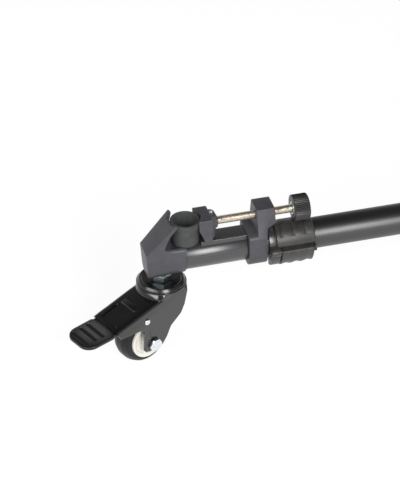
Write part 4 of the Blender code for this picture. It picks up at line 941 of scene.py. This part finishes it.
def wheelCore():  # dished disc with a raised rim, a step and the bearing boss
    half, radius, hubRadius = wheel["coreHalf"], wheel["coreRadius"], wheel["bossRadius"]
    boss, face = forkInner - 0.5, half - wheel["recess"]
    side = [
        (hubRadius - 0.6, boss, 0.3), (hubRadius, face + 1.2), (hubRadius + 0.6, face, 0.5),
        (radius - 4.4, face - 0.3, 0.6), (radius - 2.6, half, 0.5), (radius, half, 0.4),
    ]
    bore = caster["axleRadius"] + clearance
    return turned(rounded(mirrored(side) + [(bore, -boss), (bore, boss)], 4), 84, axlePlace)


def axleBolt():  # hexagon head outside one leg, nut and threaded end outside the other
    reach, radius = caster["forkHalf"] + clearance, caster["axleRadius"]
    tip = -reach - caster["boltHead"] - 2
    shaft = turned(rounded([
        (0, tip), (radius - 0.1, tip, 0.6), (radius - 0.1, -reach), (radius, -reach), (radius, reach + 1),
        (0, reach + 1),
    ], 3), 40)
    head = hexagon(caster["boltFlats"], reach, reach + caster["boltHead"], 0.8)
    nut = hexagon(caster["boltFlats"], -reach - caster["boltHead"], -reach, 0.8)
    bolt = soften(join(shaft, head, nut), 0.2, 2, 30)
    bolt.data.transform(axlePlace)
    return bolt


def pedalRivet():
    reach = caster["forkHalf"] + clearance
    half = rounded([
        (caster["rivetRadius"], 0), (caster["rivetRadius"], reach), (caster["rivetHead"], reach, 0.2),
        (caster["rivetHead"] - 0.3, reach + 1.0, 0.9), (0, reach + 1.6),
    ], 5)[1:]
    profile = [(radius, -height) for radius, height in reversed(half)] + half
    return turned(profile, 40, rivetPlace)


def brakePedal():
    plateTop = pedal["plateTop"]
    hinge = (pedalAt.x, pedalAt.z)
    eyeRadius = caster["rivetRadius"] + clearance + 1.3
    outline = arc(hinge, eyeRadius, 75, 285, 16)
    outline += [
        (38.5, -28.8), (40.5, -30.7), (45.0, -30.7), (48.0, -29.0),
        (pedal["plateStart"] + 2, -plateTop - pedal["thickness"]), (pedal["plateStart"] + 2, -plateTop - 0.2),
        (pedal["plateStart"] - 8, -plateTop - 0.1), (40.0, -21.3),
    ]
    leverArm = prism(outline, -(forkInner - 1.2), forkInner - 1.2)
    start, tip, half = pedal["plateStart"], pedal["tip"], pedal["half"]
    plate = rounded(mirrored([(start, -half, 1.5), (tip, -half, pedal["corner"])]), 12)
    plate = soften(prism(plate, -plateTop - pedal["thickness"], -plateTop, "Z"), 0.9)
    wide, bed = pedal["grooveWidth"] / 2, -plateTop - pedal["grooveDepth"]
    low, high = pedal["grooveSpan"]
    for x in pedal["grooves"]:
        cut(plate, prism(rounded([
            (x - wide - 1.2, -plateTop + 1), (x - wide + 0.9, bed, 1.0), (x + wide - 0.8, bed, 1.0),
            (x + wide + 1, -plateTop + 1),
        ], 5), low, high if x < tip - pedal["corner"] else high - 1.0))
    for vert in plate.data.vertices:
        vert.co.z -= pedalSlope * max(0.0, vert.co.x - start)
    piece = join(leverArm, plate)
    castSkin(piece, 0.32, 5, 0.4)
    return cut(piece, rod(caster["rivetRadius"] + clearance, -30, 30, 24, rivetPlace))


onEachArm(swivelRing(), "swivelRing", ringLook, "gloss_steel", "carriage", "swivel_ring", casterFrame)
onEachArm(stemNut(), "stemNut", nutLook, "zinc", "carriage", None, casterFrame)
onEachArm(casterFork(), "casterFork", enamelLook, "gloss_steel", "caster", "caster_fork", casterFrame)
onEachArm(tyre(), "wheelTyre", treadLook, "tread", "wheel", "tyre", casterFrame)
onEachArm(wheelCore(), "wheelCore", ivoryLook, "nylon", "wheel", "wheel_core", casterFrame)
onEachArm(axleBolt(), "axleBolt", zincLook, "zinc", "caster", "axle_bolt", casterFrame)
onEachArm(pedalRivet(), "pedalRivet", zincLook, "zinc", "caster", "pedal_rivet", casterFrame)
onEachArm(brakePedal(), "brakePedal", pedalLook, "moulded", "pedal", "brake_pedal", casterFrame)
print("caster made")


# Hub

hub = {
    "radius": 27.0, "top": 13.5, "edge": 2.5, "capRadius": 23.5, "capThickness": 3.2, "clevisWall": 5.2,
    "clevisRadius": 12.5, "hingeRadius": 42.0, "knobRadius": 17.5, "lobes": 5, "lobeDepth": 2.5,
    "knobHeight": 15.0, "neckRadius": 8.0, "neck": 3.0, "studRadius": 4.0, "studLength": 18.0,
}


def hubBody():
    bottom = -tubeHeight
    body = turned(rounded([
        (0, bottom), (hub["radius"], bottom, hub["edge"]), (hub["radius"], hub["top"], 1.0), (0, hub["top"]),
    ], 5), 84)
    slotHalf = knuckle["tongueHalf"] + clearance
    half = slotHalf + hub["clevisWall"]
    pocket = hub["hingeRadius"] - knuckle["tongueRadius"] - 1.5
    for i in range(3):
        turn = Matrix.Rotation(math.pi + math.tau * i / 3, 4, "Z")
        outline = arc((hub["hingeRadius"], 0), hub["clevisRadius"], -90, 90, 24)
        outline += [(hub["radius"] - 12, hub["clevisRadius"]), (hub["radius"] - 12, -hub["clevisRadius"] - 2)]
        clevis = soften(prism(outline, -half, half), 0.9)
        slot = prism([(pocket, -30), (90, -30), (90, 30), (pocket, 30)], -slotHalf, slotHalf)
        pin = rounded(mirrored([(0, -half - 0.8), (knuckle["pinRadius"], -half - 0.8, 0.5)]), 3)
        pin = turned(pin, 32, Matrix.Translation((hub["hingeRadius"], 0, 0)) @ alongY)
        for shape in (clevis, slot, pin):
            shape.data.transform(turn)
        join(body, clevis)
        cut(body, slot)
        join(body, pin)
    studHole = rod(hub["studRadius"] + clearance, hub["top"] - hub["studLength"], 40)
    return soften(cut(body, studHole), 0.35, 2, 38)


def hubCap():
    low, neck = hub["top"] + clearance, hub["neckRadius"]
    high, bore = low + hub["capThickness"], hub["studRadius"] + clearance
    return turned(rounded([
        (hub["capRadius"], low, 0.4), (hub["capRadius"], high, 1.2), (neck + 3.5, high, 0.5),
        (neck + 3.0, high - 0.6, 0.4), (neck + 1.6, high - 0.6, 0.4), (neck + 1.0, high, 0.3),
        (bore, high), (bore, low),
    ], 4), 84)


def lockKnob():
    low = hub["top"] + clearance + hub["capThickness"] + clearance
    tip, neckTop = hub["top"] - hub["studLength"] + 2, low + hub["neck"] + 1
    stem = turned(rounded([
        (0, tip), (hub["studRadius"], tip, 0.6), (hub["studRadius"], low), (hub["neckRadius"], low, 0.4),
        (hub["neckRadius"], neckTop), (0, neckTop),
    ], 3), 48)
    steps = hub["lobes"] * 20
    base, top = low + hub["neck"], low + hub["knobHeight"]
    stations = [(base, 2.0), (base + 0.5, 1.0), (base + 1.2, 0.3), (base + 2.2, 0), (top - 4, 0.2),
                (top - 2.4, 0.7), (top - 1.2, 1.7), (top - 0.4, 3.0), (top, 4.6)]
    rings = []
    for z, shrink in stations:
        ring = []
        for k in range(steps):
            turn = math.tau * k / steps
            reach = hub["knobRadius"] - shrink - hub["lobeDepth"] * (1 - math.cos(hub["lobes"] * turn)) / 2
            ring.append((reach * math.cos(turn), reach * math.sin(turn), z))
        rings.append(ring)
    return join(stem, loft(rings))


onHub(hubBody(), "hubBody", castLook, "cast", "hub", "hub_body")
onHub(hubCap(), "hubCap", nylonLook, "moulded", "hub_plate", "hub_cap")
onHub(lockKnob(), "lockKnob", nylonLook, "moulded", "hub_lock", "lock_knob", sharp=45)
print("hub made")


# Floor, light and camera

studio = {
    "floorZ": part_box("tyre_a")[0].z, "floorSize": 24.0, "floorColour": "#f4f3f4",
    "azimuth": -15.6, "elevation": 35.5, "distance": 3.5, "frameHeight": 0.4425, "aimX": 35.6, "aimZ": 1.0,
}


def makeFloor():
    half = studio["floorSize"] / 2
    bm = bmesh.new()
    corners = ((-half, -half), (half, -half), (half, half), (-half, half))
    bm.faces.new([bm.verts.new((x, y, studio["floorZ"])) for x, y in corners])
    floor = newPiece(bm, "floor")
    look = bpy.data.materials.new("whitePaperSweep")
    look.use_nodes = True
    tree = look.node_tree
    shader = tree.nodes["Principled BSDF"]
    shader.inputs["Base Color"].default_value = linear(studio["floorColour"])
    shader.inputs["Roughness"].default_value = 0.9
    shader.inputs["Specular IOR Level"].default_value = 0.1
    path = addNode(tree, "ShaderNodeLightPath")
    seen = addNode(tree, "ShaderNodeMath", {"operation": "MAXIMUM"},
                   {0: path.outputs["Is Camera Ray"], 1: path.outputs["Is Glossy Ray"]})
    glow = addNode(tree, "ShaderNodeEmission", {"Strength": 0.89})
    faint = addNode(tree, "ShaderNodeBsdfDiffuse", {"Color": (0.22, 0.22, 0.22, 1)})  # lets the shadow show
    white = addNode(tree, "ShaderNodeAddShader", {}, {0: glow.outputs[0], 1: faint.outputs[0]})
    paper = addNode(tree, "ShaderNodeMixShader", {},
                    {0: seen.outputs[0], 1: shader.outputs[0], 2: white.outputs[0]})
    tree.links.new(paper.outputs[0], tree.nodes["Material Output"].inputs["Surface"])
    floor.data.materials.append(look)


def makeWorld():
    world = bpy.data.worlds.new("studio")
    bpy.context.scene.world = world
    world.use_nodes = True
    tree = world.node_tree
    room = tree.nodes["Background"]
    where = addNode(tree, "ShaderNodeTexCoord")
    height = addNode(tree, "ShaderNodeSeparateXYZ", {}, {0: where.outputs["Generated"]})
    dim = addNode(tree, "ShaderNodeValToRGB", {}, {"Fac": height.outputs["Z"]})
    dim.color_ramp.elements[0].color = (0.8, 0.8, 0.82, 1)
    dim.color_ramp.elements[1].color = (0.05, 0.05, 0.05, 1)
    for position, level in ((0.45, 0.3), (0.8, 0.09)):  # a dark ceiling over pale walls
        dim.color_ramp.elements.new(position).color = (level, level, level, 1)
    tree.links.new(dim.outputs[0], room.inputs["Color"])
    white = addNode(tree, "ShaderNodeBackground", {"Color": (1, 1, 1, 1), "Strength": 1.0})
    path = addNode(tree, "ShaderNodeLightPath")
    choose = addNode(tree, "ShaderNodeMixShader", {},
                     {0: path.outputs["Is Camera Ray"], 1: room.outputs[0], 2: white.outputs[0]})
    tree.links.new(choose.outputs[0], tree.nodes["World Output"].inputs["Surface"])


def standOff(name, data, azimuth, elevation, distance):  # a lamp or the camera, turned to face the aim
    holder = bpy.data.objects.new(name, data)
    bpy.context.scene.collection.objects.link(holder)
    a, e = math.radians(azimuth), math.radians(elevation)
    away = Vector((math.sin(a) * math.cos(e), -math.cos(a) * math.cos(e), math.sin(e)))
    holder.location = aim + away * distance
    holder.rotation_euler = away.to_track_quat("Z", "Y").to_euler()
    return holder


def softbox(name, azimuth, elevation, distance, width, height, power):
    lamp = bpy.data.lights.new(name, "AREA")
    lamp.shape = "RECTANGLE"
    lamp.size, lamp.size_y, lamp.energy = width, height, power
    standOff(name, lamp, azimuth, elevation, distance)


def makeCamera():
    data = bpy.data.cameras.new("camera")
    data.sensor_width = 36
    data.lens = data.sensor_width * studio["distance"] / studio["frameHeight"]
    place = studio["azimuth"], studio["elevation"], studio["distance"]
    bpy.context.scene.camera = standOff("camera", data, *place)


aim = armA @ (Vector((studio["aimX"], 0, studio["aimZ"])) * mm)
makeFloor()
makeWorld()
softbox("frontBox", 6, 29, 2.4, 0.85, 1.2, 36)
softbox("leftBox", -61, 33, 2.2, 2.0, 0.45, 15)
makeCamera()
bpy.context.scene.view_settings.view_transform = "Standard"
print("studio made")
